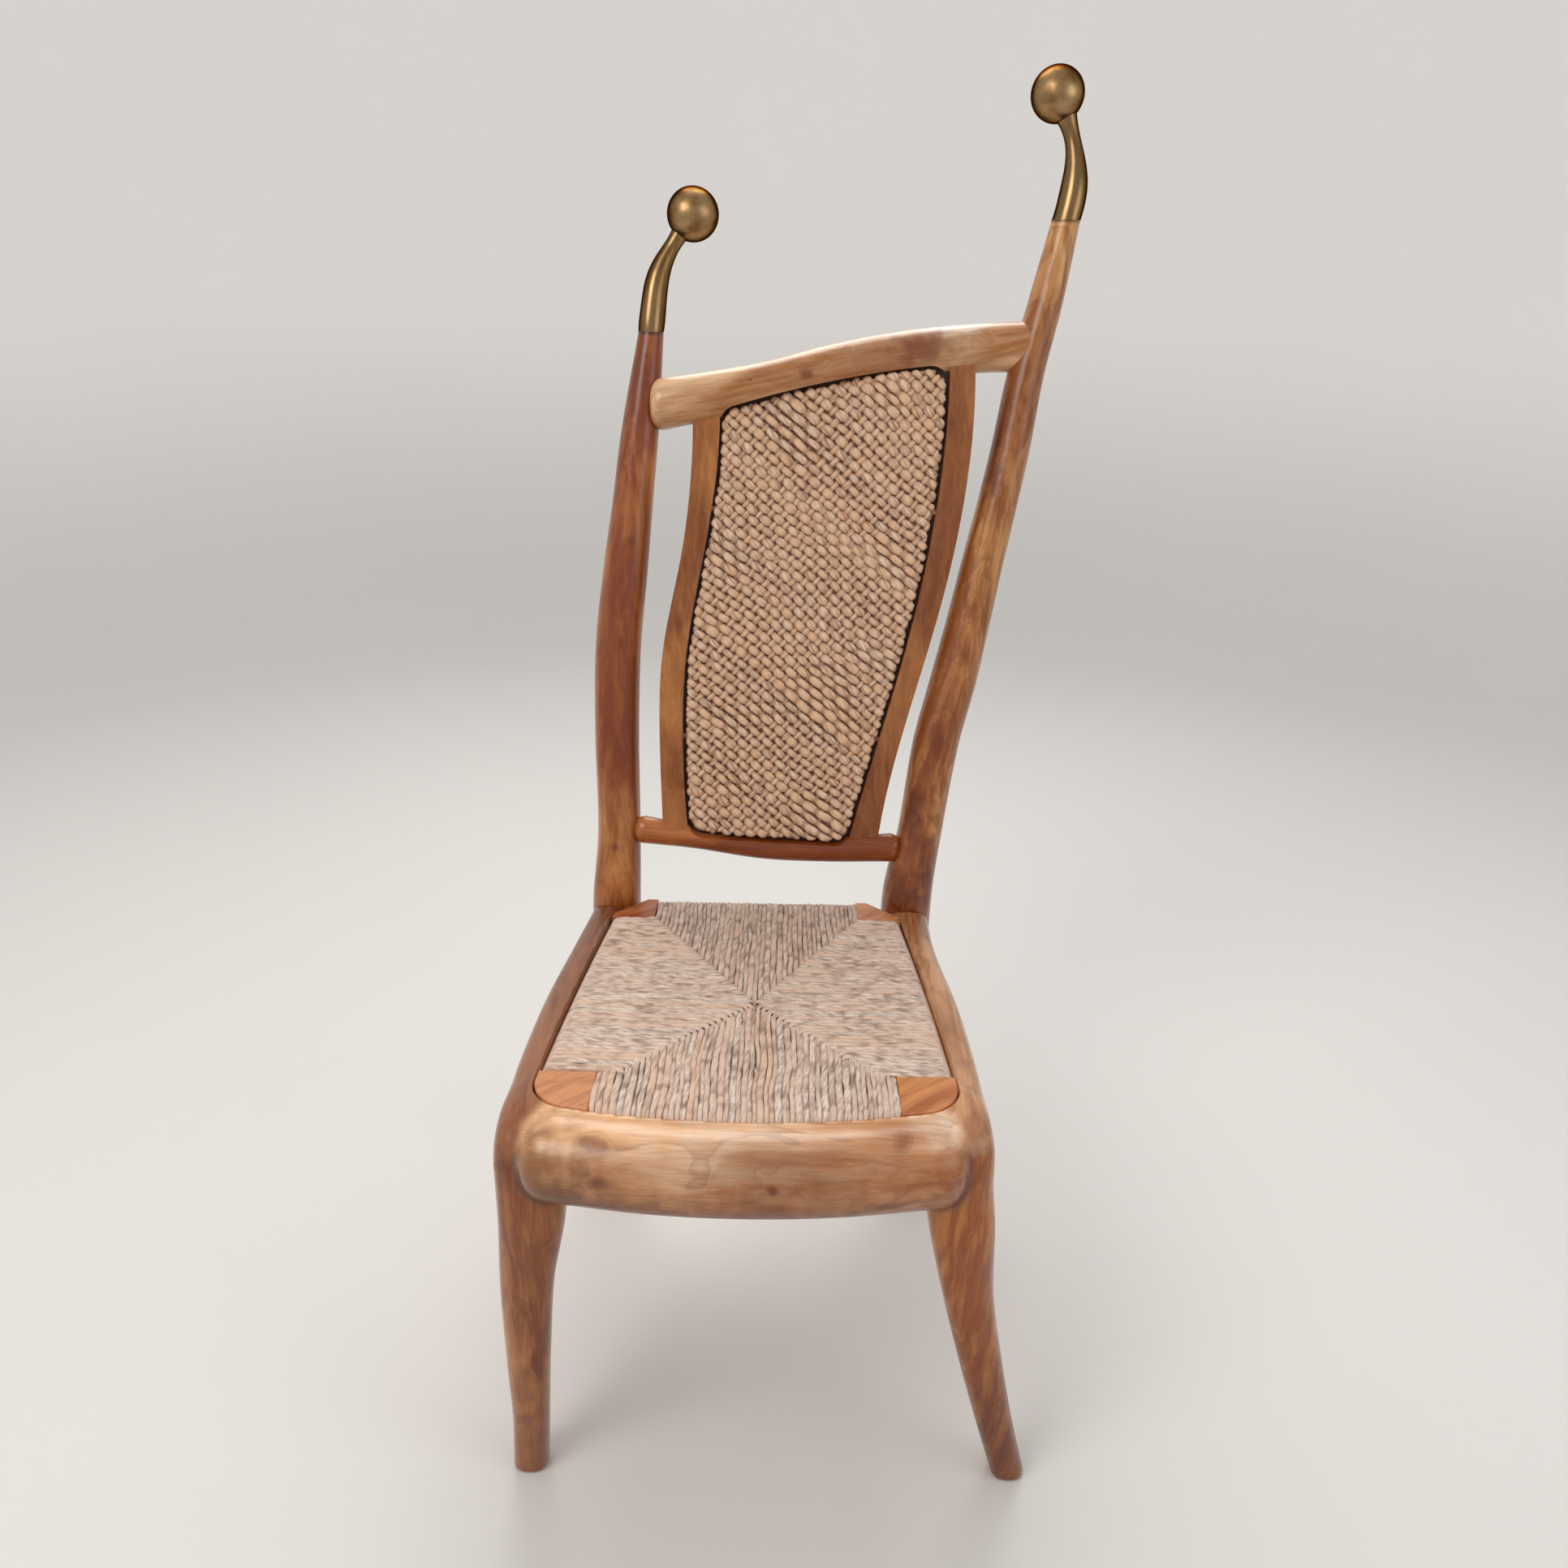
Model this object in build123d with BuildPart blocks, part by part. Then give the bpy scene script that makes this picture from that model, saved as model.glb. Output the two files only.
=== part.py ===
"""High-backed occasional chair: carved hardwood frame, drop-in rush seat, woven back panel
and brass ball finials on swan necks.

Units are millimetres. X runs to the viewer's right as seen from the front, the chair faces -Y
and Z is up. The model is laid out around the middle of the seat and is moved at the end so
that the origin is the middle of its footprint, on the floor. Left and right are the viewer's.
"""

import os
from math import ceil, copysign, cos, hypot, pi, radians, sin

from build123d import *

os.makedirs("parts", exist_ok=True)

# ---------------------------------------------------------------------------
# Driving dimensions
# ---------------------------------------------------------------------------

# Drop-in seat
seat_height = 445.0  # top of the corner blocks above the floor
seat_front_half = 197.0  # half width along the front edge
seat_rear_half = 168.0  # half width at the rear, before the corner is cut for the post
seat_side_bulge = 3.0  # how far the sides bow outwards
seat_front_y = -195.0  # front edge at its ends
seat_front_bow = 25.0  # how far the middle of the front edge stands forward
seat_rear_y = 210.0
seat_corner_radius = 42.0
post_notch = 36.0  # size of the cut at the rear corners, which clears the posts
seat_thickness = 29.0
seat_gap = 1.2  # gap all round between the drop-in seat and its rebate

# Corner blocks and rails of the drop-in seat
front_block_width = 57.0  # from the seat's front corner inwards
front_block_length = 47.0  # from the front edge's ends backwards
rear_block_width = 49.0
rear_block_length = 48.0
block_edge_round = 1.5
seat_rail_width = 26.0
seat_rail_thickness = 17.0
seat_rail_tenon = 12.0
rush_cover = 5.0  # rush between the seat rails and the surface
rush_crown = 1.5  # rush stands this much above the corner blocks
rush_underside_gap = 1.0  # rush stays clear of the ledges below it

# Feet and the sections of all carved pieces
foot_edge_radius = 5.0  # rounding of the four feet
limb_fullness = 2.7  # squareness of the limb sections: 2 is an ellipse
oval_points = 16  # points on the outline of each oval section
section_spacing = 24.0  # distance between the sections of a carved piece

# Side rails: share of the way to the knee, distance out from the seat's edge,
# drop of the centre below the seat's top, width, height
rail_rear_overrun = 10.0  # the rails end this far behind the seat, inside the posts
rail_rear_size = (31.0, 52.0, 56.0)  # drop, width, height at the rear end
rail_line = [
    (0.26, 8.5, 31.0, 50.0, 60.0),
    (0.57, 9.0, 32.0, 50.0, 62.0),
    (0.83, 4.5, 33.0, 54.0, 62.0),
]

# Knees: the limb turns down around a pivot below and inside the bend
knee_setback = 31.0  # pivot behind the seat's front corners
knee_drop = 73.0  # pivot below the seat's top
knee_inner_radius = 8.0
knee_out = -1.0  # centre of the knee out from the seat's front corner
knee_line = [  # turn in degrees, width, height
    (0.0, 56.0, 62.0),
    (22.5, 58.0, 67.5),
    (45.0, 60.0, 74.0),
    (67.5, 61.0, 68.0),
    (90.0, 62.0, 62.0),
]

# Front legs: share of the way down to the foot, lean outwards from the knee, width, depth
leg_forward = 4.0  # legs' centre in front of the knee's end
leg_sweep = 14.0  # how far back the front feet stand from the legs' top
left_leg_line = [
    (0.1, -1.0, 62.0, 60.0),
    (0.33, 9.0, 50.0, 50.0),
    (0.58, 14.0, 42.0, 43.0),
    (0.8, 17.0, 36.0, 38.0),
    (1.0, 22.0, 35.0, 34.0),
]
right_leg_line = [
    (0.1, 4.0, 62.0, 60.0),
    (0.33, 16.0, 49.0, 50.0),
    (0.58, 36.0, 42.0, 43.0),
    (0.8, 56.0, 37.0, 38.0),
    (1.0, 76.0, 34.0, 34.0),
]

# Curved seam between each leg and its side rail: how far out from the knee's centre its lowest
# point is, how far below the seat's top, and its radius
left_seam = (20.0, 37.0, 60.0)
right_seam = (12.0, 25.0, 48.0)
shoulder_setback = 23.0  # rear face of the leg's shoulder behind the seat's front corners

# Front rail: a thick bowed bar with round ends
front_rail_radius = 42.0
front_rail_left_inset = -4.0  # left end inside the centre of the left knee
front_rail_right_inset = -3.0
front_rail_forward = 21.0  # ends of its centre line in front of the seat's front corners
front_rail_bow = 16.0
front_rail_end_length = 32.0  # length over which each end is rounded

# Rear seat rail
rear_rail_depth = 30.0
rear_rail_height = 44.0
rear_rail_overlap = 12.0  # how much of the drop-in seat's rear edge rests on it
rear_rail_edge = 8.0
rear_rail_reach = 12.0  # how far the rail's ends go into the posts

# Back posts, each running on down as a rear leg
post_behind_seat = 16.0  # centre of the posts behind the seat's rear edge, at seat height
rake = 0.183  # slope of the back just above the seat
rake_easing = 4.1e-5  # how the slope eases with height
rear_leg_sweep = 74.0  # how far the rear feet stand behind the posts' waist
post_depth_ratio = 1.1
left_post_foot = (18.0, 36.0)  # distance out from the seat's rear corner, width
right_post_foot = (34.0, 36.0)
left_post_line = [  # height above the seat, distance out from its rear corner, width
    (-295.0, 12.0, 45.0),
    (-145.0, 7.0, 54.0),
    (-15.0, 4.0, 58.0),
    (79.0, 0.0, 51.0),
    (195.0, 1.5, 52.0),
    (295.0, -1.0, 53.0),
    (385.0, -10.5, 51.5),
    (455.0, -19.0, 46.5),
    (540.0, -29.0, 42.0),
    (642.0, -42.0, 28.0),
]
right_post_line = [
    (-295.0, 25.0, 46.0),
    (-145.0, 17.0, 56.0),
    (0.0, 14.0, 60.0),
    (85.0, 27.0, 53.0),
    (191.0, 42.0, 54.5),
    (259.0, 58.0, 54.5),
    (326.0, 72.0, 51.0),
    (392.0, 85.0, 48.0),
    (515.0, 109.5, 44.0),
    (605.0, 123.5, 41.0),
    (673.0, 139.0, 38.5),
    (762.0, 157.0, 31.0),
]

# Crest rail: it laps onto the front of the left post and butts into the right one
crest_left_rise = 566.5  # height of its left end above the seat
crest_right_rise = 632.0
crest_left_inset = 9.0  # left end inside the centre of the left post
crest_right_inset = 4.0
crest_left_shift = -8.0  # the left end stands forward of its post
crest_right_shift = 1.0
crest_end_length = 14.0  # length over which the left end is rounded
crest_line = [  # share of the way to the right end, rise over the straight line, height, depth
    (0.0, 0.0, 56.0, 50.0),
    (0.17, 1.5, 52.0, 48.0),
    (0.29, 4.0, 50.0, 47.0),
    (0.42, 9.5, 50.0, 47.0),
    (0.56, 13.0, 50.0, 47.0),
    (0.69, 13.0, 50.0, 46.0),
    (0.85, 8.0, 52.0, 44.0),
    (1.0, 1.0, 53.0, 42.0),
]
crest_dowel = (7.0, 54.0)  # radius, length

# Lower back rail
lower_rail_left_rise = 82.0
lower_rail_right_rise = 65.5
lower_rail_lap = 5.5  # its ends lap this far onto the posts
lower_rail_shift = -9.0  # it stands forward of the posts' centres
lower_rail_end_length = 13.0
lower_rail_line = [  # share of the way to the right end, rise over the straight line, height, depth
    (0.0, 0.0, 34.0, 29.0),
    (0.2, -4.5, 28.0, 26.0),
    (0.48, -11.0, 28.0, 26.0),
    (0.75, -8.0, 30.0, 27.0),
    (1.0, 0.0, 35.0, 30.0),
]
lower_rail_dowel = (5.0, 40.0)

# Woven back panel: front view, height above the seat and distance in X
panel_left_edge = [(81.0, -82.0), (195.0, -89.0), (295.0, -84.5), (412.0, -64.0), (561.0, -47.0)]
panel_right_edge = [(72.0, 106.0), (155.0, 128.0), (291.0, 164.5), (478.0, 198.0), (613.0, 204.0)]
panel_top_bow = 7.0  # how far the middle of its top edge stands above the ends' straight line
panel_bottom_bow = 2.0
panel_corner_radius = 20.0
panel_thickness = 24.0
panel_shift = -6.0  # the panel stands forward of the posts' centres
panel_gap = 1.5
panel_edge_round = 7.0
core_thickness = 12.0
weave_edge = 9.0  # weave between the core's edge and the panel's edge

# Slats beside the panel: height above the seat, width
left_slat_line = [(79.0, 31.5), (205.0, 28.5), (295.0, 29.0), (395.0, 27.0), (495.0, 26.5), (563.0, 32.0)]
right_slat_line = [(65.0, 36.0), (157.0, 28.5), (260.0, 26.0), (365.0, 30.0), (480.0, 31.0), (621.0, 28.5)]
slat_thickness = 20.0
slat_shift = -6.0

# Brass finials: offsets in X and Z from the top of the post, to the centre of the ball,
# and share of the neck's length with its radius there
ball_radius = 28.2
left_neck_path = [(0.0, 0.0), (3.0, 27.0), (9.5, 60.0), (28.0, 94.0), (46.5, 120.0)]
right_neck_path = [(0.0, 0.0), (6.0, 31.0), (6.0, 55.0), (0.0, 83.0), (-18.0, 122.5)]
left_neck_radii = [(0.2, 14.2), (0.45, 12.3), (0.62, 9.6), (0.74, 8.6), (0.84, 11.0), (0.92, 15.0)]
right_neck_radii = [(0.2, 14.8), (0.38, 12.6), (0.58, 8.8), (0.7, 8.8), (0.8, 11.0), (0.9, 15.0)]
neck_aim = 0.8  # share of the neck's length from which its ball stud points at the ball

# Dowels and studs: radius, length
front_rail_dowel = (8.0, 46.0)
front_rail_dowel_drop = 51.0  # below the seat's top
side_rail_dowel = (8.0, 56.0)
side_rail_dowel_drop = 45.0
leg_dowel = (5.5, 50.0)
leg_dowel_out = 11.0  # out from the seat's front corner
leg_dowel_setback = 5.0
leg_dowel_drop = 6.0  # middle of the dowel below the seam's lowest point
rear_rail_dowel = (6.0, 36.0)
panel_dowel = (4.0, 36.0)
panel_dowel_rises = (195.0, 455.0)  # heights above the seat
ball_stud_size = (4.0, 34.0)
neck_stud_size = (4.0, 50.0)

# Sizes that follow from the others
ledge_z = seat_height - seat_thickness
rail_rear_y = seat_rear_y + rail_rear_overrun
knee_pivot_y = seat_front_y + knee_setback
knee_pivot_z = seat_height - knee_drop
knee_x = seat_front_half + knee_out
front_leg_y = knee_pivot_y - knee_inner_radius - knee_line[-1][2] / 2 - leg_forward
post_y = seat_rear_y + post_behind_seat
far = 600.0  # half length of cutting bodies, beyond the chair on every side

# Slabs of the back: their ends beyond the rails, and shares of their height at which they bend
slab_low_rise = lower_rail_right_rise - 30.0
slab_high_rise = crest_right_rise + 43.0
slab_shares = (0.0, 0.25, 0.5, 0.75, 1.0)

# Rounded ends: turns in degrees of their sections, from the full size to the tip, and the power
# of the cosine that shrinks them: 1 is an ellipse and less is blunter
end_turns = (0, 20, 40, 60, 80)
end_power = 0.6


# ---------------------------------------------------------------------------
# Shared shapes
# ---------------------------------------------------------------------------

def smooth_values(stations, at):
    """Values at a distance along smooth curves through stations of (distance, values...)."""
    last_spot = len(stations) - 2
    spot = min(sum(1 for station in stations[1:] if station[0] < at), last_spot)
    start = stations[spot]
    end = stations[spot + 1]
    before = stations[max(spot - 1, 0)]
    after = stations[min(spot + 2, last_spot + 1)]
    span = end[0] - start[0]
    u = min(max((at - start[0]) / span, 0), 1)
    values = []
    for low, a, b, high in zip(before[1:], start[1:], end[1:], after[1:]):
        slope_a = (b - low) / (end[0] - before[0]) * span
        slope_b = (high - a) / (after[0] - start[0]) * span
        bend = 3 * (b - a) - 2 * slope_a - slope_b + u * (2 * (a - b) + slope_a + slope_b)
        values.append(a + u * (slope_a + u * bend))
    return values


def even_sections(stations, section_at):
    """Sections at even steps along smooth curves through the stations."""
    first = stations[0][0]
    length = stations[-1][0] - first
    count = ceil(length / section_spacing)
    steps = [first + length * step / count for step in range(count + 1)]
    return [section_at(at, *smooth_values(stations, at)) for at in steps]


def oval_face(plane, x_size, y_size, fullness=2.0):
    """Oval section on a plane: an ellipse, or squarer where the fullness is above 2."""
    points = []
    for step in range(oval_points):
        turn = 2 * pi * step / oval_points
        x_share = copysign(abs(cos(turn)) ** (2 / fullness), cos(turn))
        y_share = copysign(abs(sin(turn)) ** (2 / fullness), sin(turn))
        points.append((x_share * x_size / 2, y_share * y_size / 2))
    with BuildSketch(plane) as section:
        with BuildLine():
            Spline(*points, periodic=True)
        make_face()
    return section.sketch.faces()[0]


def crosswise_plane(x, y, z):
    """Plane across a bar that runs along X, with its own X along world Y."""
    return Plane(origin=(x, y, z), x_dir=(0, 1, 0), z_dir=(1, 0, 0))


def bar_body(stations, left_end, right_end):
    """Bar along X through stations (x, y, z, height, depth), with rounded ends of given lengths."""

    def section_at(x, y, z, height, depth):
        return oval_face(crosswise_plane(x, y, z), depth, height)

    with BuildPart() as bar:
        loft(even_sections(stations, section_at))
        for station, length in ((stations[0], -left_end), (stations[-1], right_end)):
            if length:
                x, y, z, height, depth = station
                sections = []
                for turn in end_turns:
                    swell = cos(radians(turn)) ** end_power
                    tip_x = x + length * sin(radians(turn))
                    sections.append(section_at(tip_x, y, z, height * swell, depth * swell))
                loft(sections)
    return bar.part


def cylinder_between(size, centre, direction):
    """Plain dowel of a given radius and length, centred on a point."""
    radius, length = size
    with BuildPart() as dowel:
        with BuildSketch(Plane(origin=centre, z_dir=direction)):
            Circle(radius)
        extrude(amount=length / 2, both=True)
    return dowel.part


def seat_outline(grow=0.0):
    """Plan outline of the drop-in seat, grown by a gap or shrunk by a margin."""
    rear_side_y = seat_rear_y - post_notch
    rear_x = seat_rear_half - post_notch
    side_middle = ((seat_front_half + seat_rear_half) / 2 + seat_side_bulge, (seat_front_y + rear_side_y) / 2)
    front_middle = (0, seat_front_y - seat_front_bow)
    front_left = (-seat_front_half, seat_front_y)
    front_right = (seat_front_half, seat_front_y)
    rear_left = (-seat_rear_half, rear_side_y)
    rear_right = (seat_rear_half, rear_side_y)
    with BuildSketch() as outline:
        with BuildLine():
            ThreePointArc(front_left, front_middle, front_right)
            ThreePointArc(front_right, side_middle, rear_right)
            Polyline(rear_right, (rear_x, seat_rear_y), (-rear_x, seat_rear_y), rear_left)
            ThreePointArc(rear_left, (-side_middle[0], side_middle[1]), front_left)
        make_face()
        fillet(outline.vertices().group_by(Axis.Y)[0], seat_corner_radius)
        if grow:
            offset(amount=grow)
    return outline.sketch.faces()[0]


def seat_side_x(y):
    """Half width of the drop-in seat at a distance y, along its bowed side."""
    share = (y - seat_front_y) / (seat_rear_y - post_notch - seat_front_y)
    bow = 4 * seat_side_bulge * share * (1 - share)
    return seat_front_half + (seat_rear_half - seat_front_half) * share + bow


def back_y(z):
    """Centre of the back in Y at height z: raked above the seat, swept back below it."""
    rise = z - seat_height
    if rise > 0:
        return post_y + rake * rise - rake_easing * rise**2
    return post_y + rear_leg_sweep * (rise / seat_height) ** 2


def raked_slab(front, rear):
    """Slab that follows the rake of the back, between two offsets from its centre in Y."""
    rises = [slab_low_rise + share * (slab_high_rise - slab_low_rise) for share in slab_shares]
    heights = [seat_height + rise for rise in rises]
    front_points = [(back_y(z) + front, z) for z in heights]
    rear_points = [(back_y(z) + rear, z) for z in heights]
    with BuildPart() as slab:
        with BuildSketch(Plane.YZ):
            with BuildLine():
                Spline(*front_points)
                Line(front_points[-1], rear_points[-1])
                Spline(*reversed(rear_points))
                Line(rear_points[0], front_points[0])
            make_face()
        extrude(amount=far, both=True)
    return slab.part


def edge_points(edge, shift=0.0, reach=0.0):
    """Points of an edge of the panel in front view, shifted in X, with its ends further out in Z."""
    points = [(x + shift, seat_height + rise) for rise, x in edge]
    (first_x, first_z), (last_x, last_z) = points[0], points[-1]
    return [(first_x, first_z - reach), *points[1:-1], (last_x, last_z + reach)]


def panel_outline(grow=0.0):
    """Front view outline of the back panel on the XZ plane, grown or shrunk."""
    left = edge_points(panel_left_edge, -grow, grow)
    right = edge_points(panel_right_edge, grow, grow)
    top_middle = ((left[-1][0] + right[-1][0]) / 2, (left[-1][1] + right[-1][1]) / 2 + panel_top_bow)
    bottom_middle = ((left[0][0] + right[0][0]) / 2, (left[0][1] + right[0][1]) / 2 - panel_bottom_bow)
    with BuildSketch(Plane.XZ) as outline:
        with BuildLine():
            Spline(*left)
            ThreePointArc(left[-1], top_middle, right[-1])
            Spline(*reversed(right))
            ThreePointArc(right[0], bottom_middle, left[0])
        make_face()
        fillet(outline.vertices(), panel_corner_radius + grow)
    return outline.sketch.faces()[0]


def raked_solid(outline, front, rear):
    """Body with a front-view outline that follows the rake of the back, between two offsets in Y."""
    with BuildPart() as solid:
        extrude(outline, amount=far, both=True)
        add(raked_slab(front, rear), mode=Mode.INTERSECT)
    return solid.part


# ---------------------------------------------------------------------------
# Back posts before their mortises are cut
# ---------------------------------------------------------------------------

def post_stations(side):
    """Stations of a back post from its foot up: height, distance in X, width."""
    foot_out, foot_width = left_post_foot if side < 0 else right_post_foot
    line = left_post_line if side < 0 else right_post_line
    stations = [(0.0, seat_rear_half + foot_out, foot_width)]
    for rise, out, width in line:
        stations.append((seat_height + rise, seat_rear_half + out, width))
    return stations


def post_x(side, z):
    """Centre of a post in X at height z."""
    return side * smooth_values(post_stations(side), z)[0]


def post_inner_x(side, z):
    """X of a post's face that looks at the middle of the chair, at height z."""
    x, width = smooth_values(post_stations(side), z)
    return side * (x - width / 2)


def post_body(side):
    """Back post and rear leg: horizontal oval sections, with a rounded foot."""

    def section_at(z, x, width):
        return oval_face(Plane((side * x, back_y(z), z)), width, width * post_depth_ratio)

    with BuildPart() as post:
        loft(even_sections(post_stations(side), section_at))
        fillet(post.faces().sort_by(Axis.Z)[0].edges(), foot_edge_radius)
    return post.part


left_post_body = post_body(-1)
right_post_body = post_body(1)

# ---------------------------------------------------------------------------
# Front rail before its rebate is cut, and the space of the drop-in seat
# ---------------------------------------------------------------------------

front_rail_z = seat_height - front_rail_radius
front_rail_y = seat_front_y - front_rail_forward
front_rail_left = -knee_x + front_rail_left_inset
front_rail_right = knee_x - front_rail_right_inset
straight_left = front_rail_left + front_rail_end_length
straight_right = front_rail_right - front_rail_end_length
front_rail_stations = []
for share in (0.0, 0.25, 0.5, 0.75, 1.0):
    x = straight_left + share * (straight_right - straight_left)
    bow_y = front_rail_y - front_rail_bow * (1 - (2 * share - 1) ** 2)
    front_rail_stations.append((x, bow_y, front_rail_z, 2 * front_rail_radius, 2 * front_rail_radius))
front_rail_bar = bar_body(front_rail_stations, front_rail_end_length, front_rail_end_length)

# Space of the drop-in seat with its gap, open upwards
with BuildPart() as seat_rebate:
    with BuildSketch(Plane.XY.offset(ledge_z)):
        add(seat_outline(seat_gap))
    extrude(amount=far)

# ---------------------------------------------------------------------------
# Dowels at the frame joints
# ---------------------------------------------------------------------------

with BuildPart() as front_rail_dowels:
    for end in (front_rail_left, front_rail_right):
        dowel_z = seat_height - front_rail_dowel_drop
        add(cylinder_between(front_rail_dowel, (end, front_rail_y, dowel_z), (1, 0, 0)))

with BuildPart() as side_rail_dowels:
    for side in (-1, 1):
        dowel_z = seat_height - side_rail_dowel_drop
        post_width = smooth_values(post_stations(side), dowel_z)[1]
        post_front_y = back_y(dowel_z) - post_width * post_depth_ratio / 2
        add(cylinder_between(side_rail_dowel, (post_x(side, dowel_z), post_front_y, dowel_z), (0, 1, 0)))

with BuildPart() as leg_dowels:
    for side, seam in ((-1, left_seam), (1, right_seam)):
        centre = (
            side * (seat_front_half + leg_dowel_out),
            seat_front_y + leg_dowel_setback,
            seat_height - seam[1] - leg_dowel_drop,
        )
        add(cylinder_between(leg_dowel, centre, (0, 0, 1)))

rear_rail_y = seat_rear_y - rear_rail_overlap + rear_rail_depth / 2
rear_rail_z = ledge_z - rear_rail_height / 2
with BuildPart() as rear_rail_dowels:
    for side in (-1, 1):
        centre = (post_inner_x(side, rear_rail_z), rear_rail_y, rear_rail_z)
        add(cylinder_between(rear_rail_dowel, centre, (1, 0, 0)))

crest_left_z = seat_height + crest_left_rise
crest_right_z = seat_height + crest_right_rise
with BuildPart() as crest_dowels:
    for side, z, shift in ((-1, crest_left_z, crest_left_shift), (1, crest_right_z, crest_right_shift)):
        add(cylinder_between(crest_dowel, (post_inner_x(side, z), back_y(z) + shift, z), (1, 0, 0)))

lower_left_z = seat_height + lower_rail_left_rise
lower_right_z = seat_height + lower_rail_right_rise
with BuildPart() as lower_rail_dowels:
    for side, z in ((-1, lower_left_z), (1, lower_right_z)):
        centre = (post_inner_x(side, z), back_y(z) + lower_rail_shift, z)
        add(cylinder_between(lower_rail_dowel, centre, (1, 0, 0)))

with BuildPart() as panel_dowels:
    for edge in (panel_left_edge, panel_right_edge):
        for rise in panel_dowel_rises:
            z = seat_height + rise
            centre = (smooth_values(edge, rise)[0], back_y(z) + panel_shift, z)
            add(cylinder_between(panel_dowel, centre, (1, 0, 0)))

# ---------------------------------------------------------------------------
# Front legs and side rails: one carved limb on each side, split at a curved seam
# ---------------------------------------------------------------------------


def limb_stations(side):
    """Stations of a limb: distance along it, y, z, turn, x, width, height of the section."""
    drop, width, height = rail_rear_size
    rear_z = seat_height - drop
    spots = [(rail_rear_y, rear_z, 0.0, side * post_x(side, rear_z), width, height)]
    for share, out, drop, width, height in rail_line:
        y = rail_rear_y + share * (knee_pivot_y - rail_rear_y)
        spots.append((y, seat_height - drop, 0.0, seat_side_x(y) + out, width, height))
    for turn, width, height in knee_line:
        reach = knee_inner_radius + height / 2
        y = knee_pivot_y - reach * sin(radians(turn))
        z = knee_pivot_z + reach * cos(radians(turn))
        spots.append((y, z, turn, knee_x, width, height))
    for share, lean, width, depth in left_leg_line if side < 0 else right_leg_line:
        y = front_leg_y + leg_sweep * share**2
        spots.append((y, knee_pivot_z * (1 - share), 90.0, knee_x + lean, width, depth))
    stations = []
    distance = 0.0
    for before, spot in zip(spots[:1] + spots, spots):
        distance += hypot(spot[0] - before[0], spot[1] - before[1])
        stations.append((distance, *spot))
    return stations


def limb_body(side):
    """Side rail that turns down at the knee and runs on as the front leg, with a rounded foot."""

    def section_at(distance, y, z, turn, x, width, height):
        along = (0, -cos(radians(turn)), -sin(radians(turn)))
        plane = Plane(origin=(side * x, y, z), x_dir=(1, 0, 0), z_dir=along)
        return oval_face(plane, width, height, limb_fullness)

    with BuildPart() as limb:
        loft(even_sections(limb_stations(side), section_at))
        fillet(limb.faces().sort_by(Axis.Z)[0].edges(), foot_edge_radius)
        add(front_rail_bar, mode=Mode.SUBTRACT)
    return limb.part


def rail_space(side):
    """Body that holds the side rail: all behind the leg, and above a curved seam over it."""
    shoulder_y = seat_front_y + shoulder_setback
    seam_out, seam_drop, seam_radius = left_seam if side < 0 else right_seam
    centre_z = seat_height - seam_drop + seam_radius
    with BuildPart() as space:
        with BuildSketch(Plane.XY.offset(-far)):
            with Locations((0, shoulder_y)):
                Rectangle(2 * far, far, align=(Align.CENTER, Align.MIN))
        extrude(amount=3 * far)
        with BuildSketch(Plane.XZ.offset(-shoulder_y)):
            with Locations((side * (knee_x + seam_out), centre_z)):
                Circle(seam_radius)
                Rectangle(2 * seam_radius, far, align=(Align.CENTER, Align.MIN))
        extrude(amount=far)
    return space.part


def front_leg(side, limb):
    """Leg of a limb, clear of the drop-in seat and with mortises for its dowels."""
    with BuildPart() as leg:
        add(limb)
        add(rail_space(side), mode=Mode.SUBTRACT)
        for cutter in (seat_rebate, front_rail_dowels, leg_dowels):
            add(cutter.part, mode=Mode.SUBTRACT)
    return leg.part


def side_rail(side, limb, post):
    """Side rail of a limb, fitted to its post and rebated for the drop-in seat."""
    with BuildPart() as rail:
        add(limb)
        add(rail_space(side), mode=Mode.INTERSECT)
        add(post, mode=Mode.SUBTRACT)
        for cutter in (seat_rebate, side_rail_dowels, rear_rail_dowels, leg_dowels):
            add(cutter.part, mode=Mode.SUBTRACT)
    return rail.part


left_limb = limb_body(-1)
right_limb = limb_body(1)

with BuildPart() as left_front_leg:
    add(front_leg(-1, left_limb))

with BuildPart() as right_front_leg:
    add(front_leg(1, right_limb))

with BuildPart() as left_side_rail:
    add(side_rail(-1, left_limb, left_post_body))

with BuildPart() as right_side_rail:
    add(side_rail(1, right_limb, right_post_body))

with BuildPart() as front_rail:
    add(front_rail_bar)
    for cutter in (seat_rebate, front_rail_dowels):
        add(cutter.part, mode=Mode.SUBTRACT)

# ---------------------------------------------------------------------------
# Rear seat rail
# ---------------------------------------------------------------------------

with BuildPart() as rear_seat_rail:
    rail_left_x = post_inner_x(-1, rear_rail_z) - rear_rail_reach
    rail_right_x = post_inner_x(1, rear_rail_z) + rear_rail_reach
    with BuildSketch(crosswise_plane(rail_left_x, rear_rail_y, rear_rail_z)):
        Rectangle(rear_rail_depth, rear_rail_height)
    extrude(amount=rail_right_x - rail_left_x)
    fillet(rear_seat_rail.edges().filter_by(Axis.X).group_by(Axis.Z)[0], rear_rail_edge)
    for cutter in (left_post_body, right_post_body, left_side_rail.part, right_side_rail.part):
        add(cutter, mode=Mode.SUBTRACT)
    add(rear_rail_dowels.part, mode=Mode.SUBTRACT)

# ---------------------------------------------------------------------------
# Slats
# ---------------------------------------------------------------------------


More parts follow.
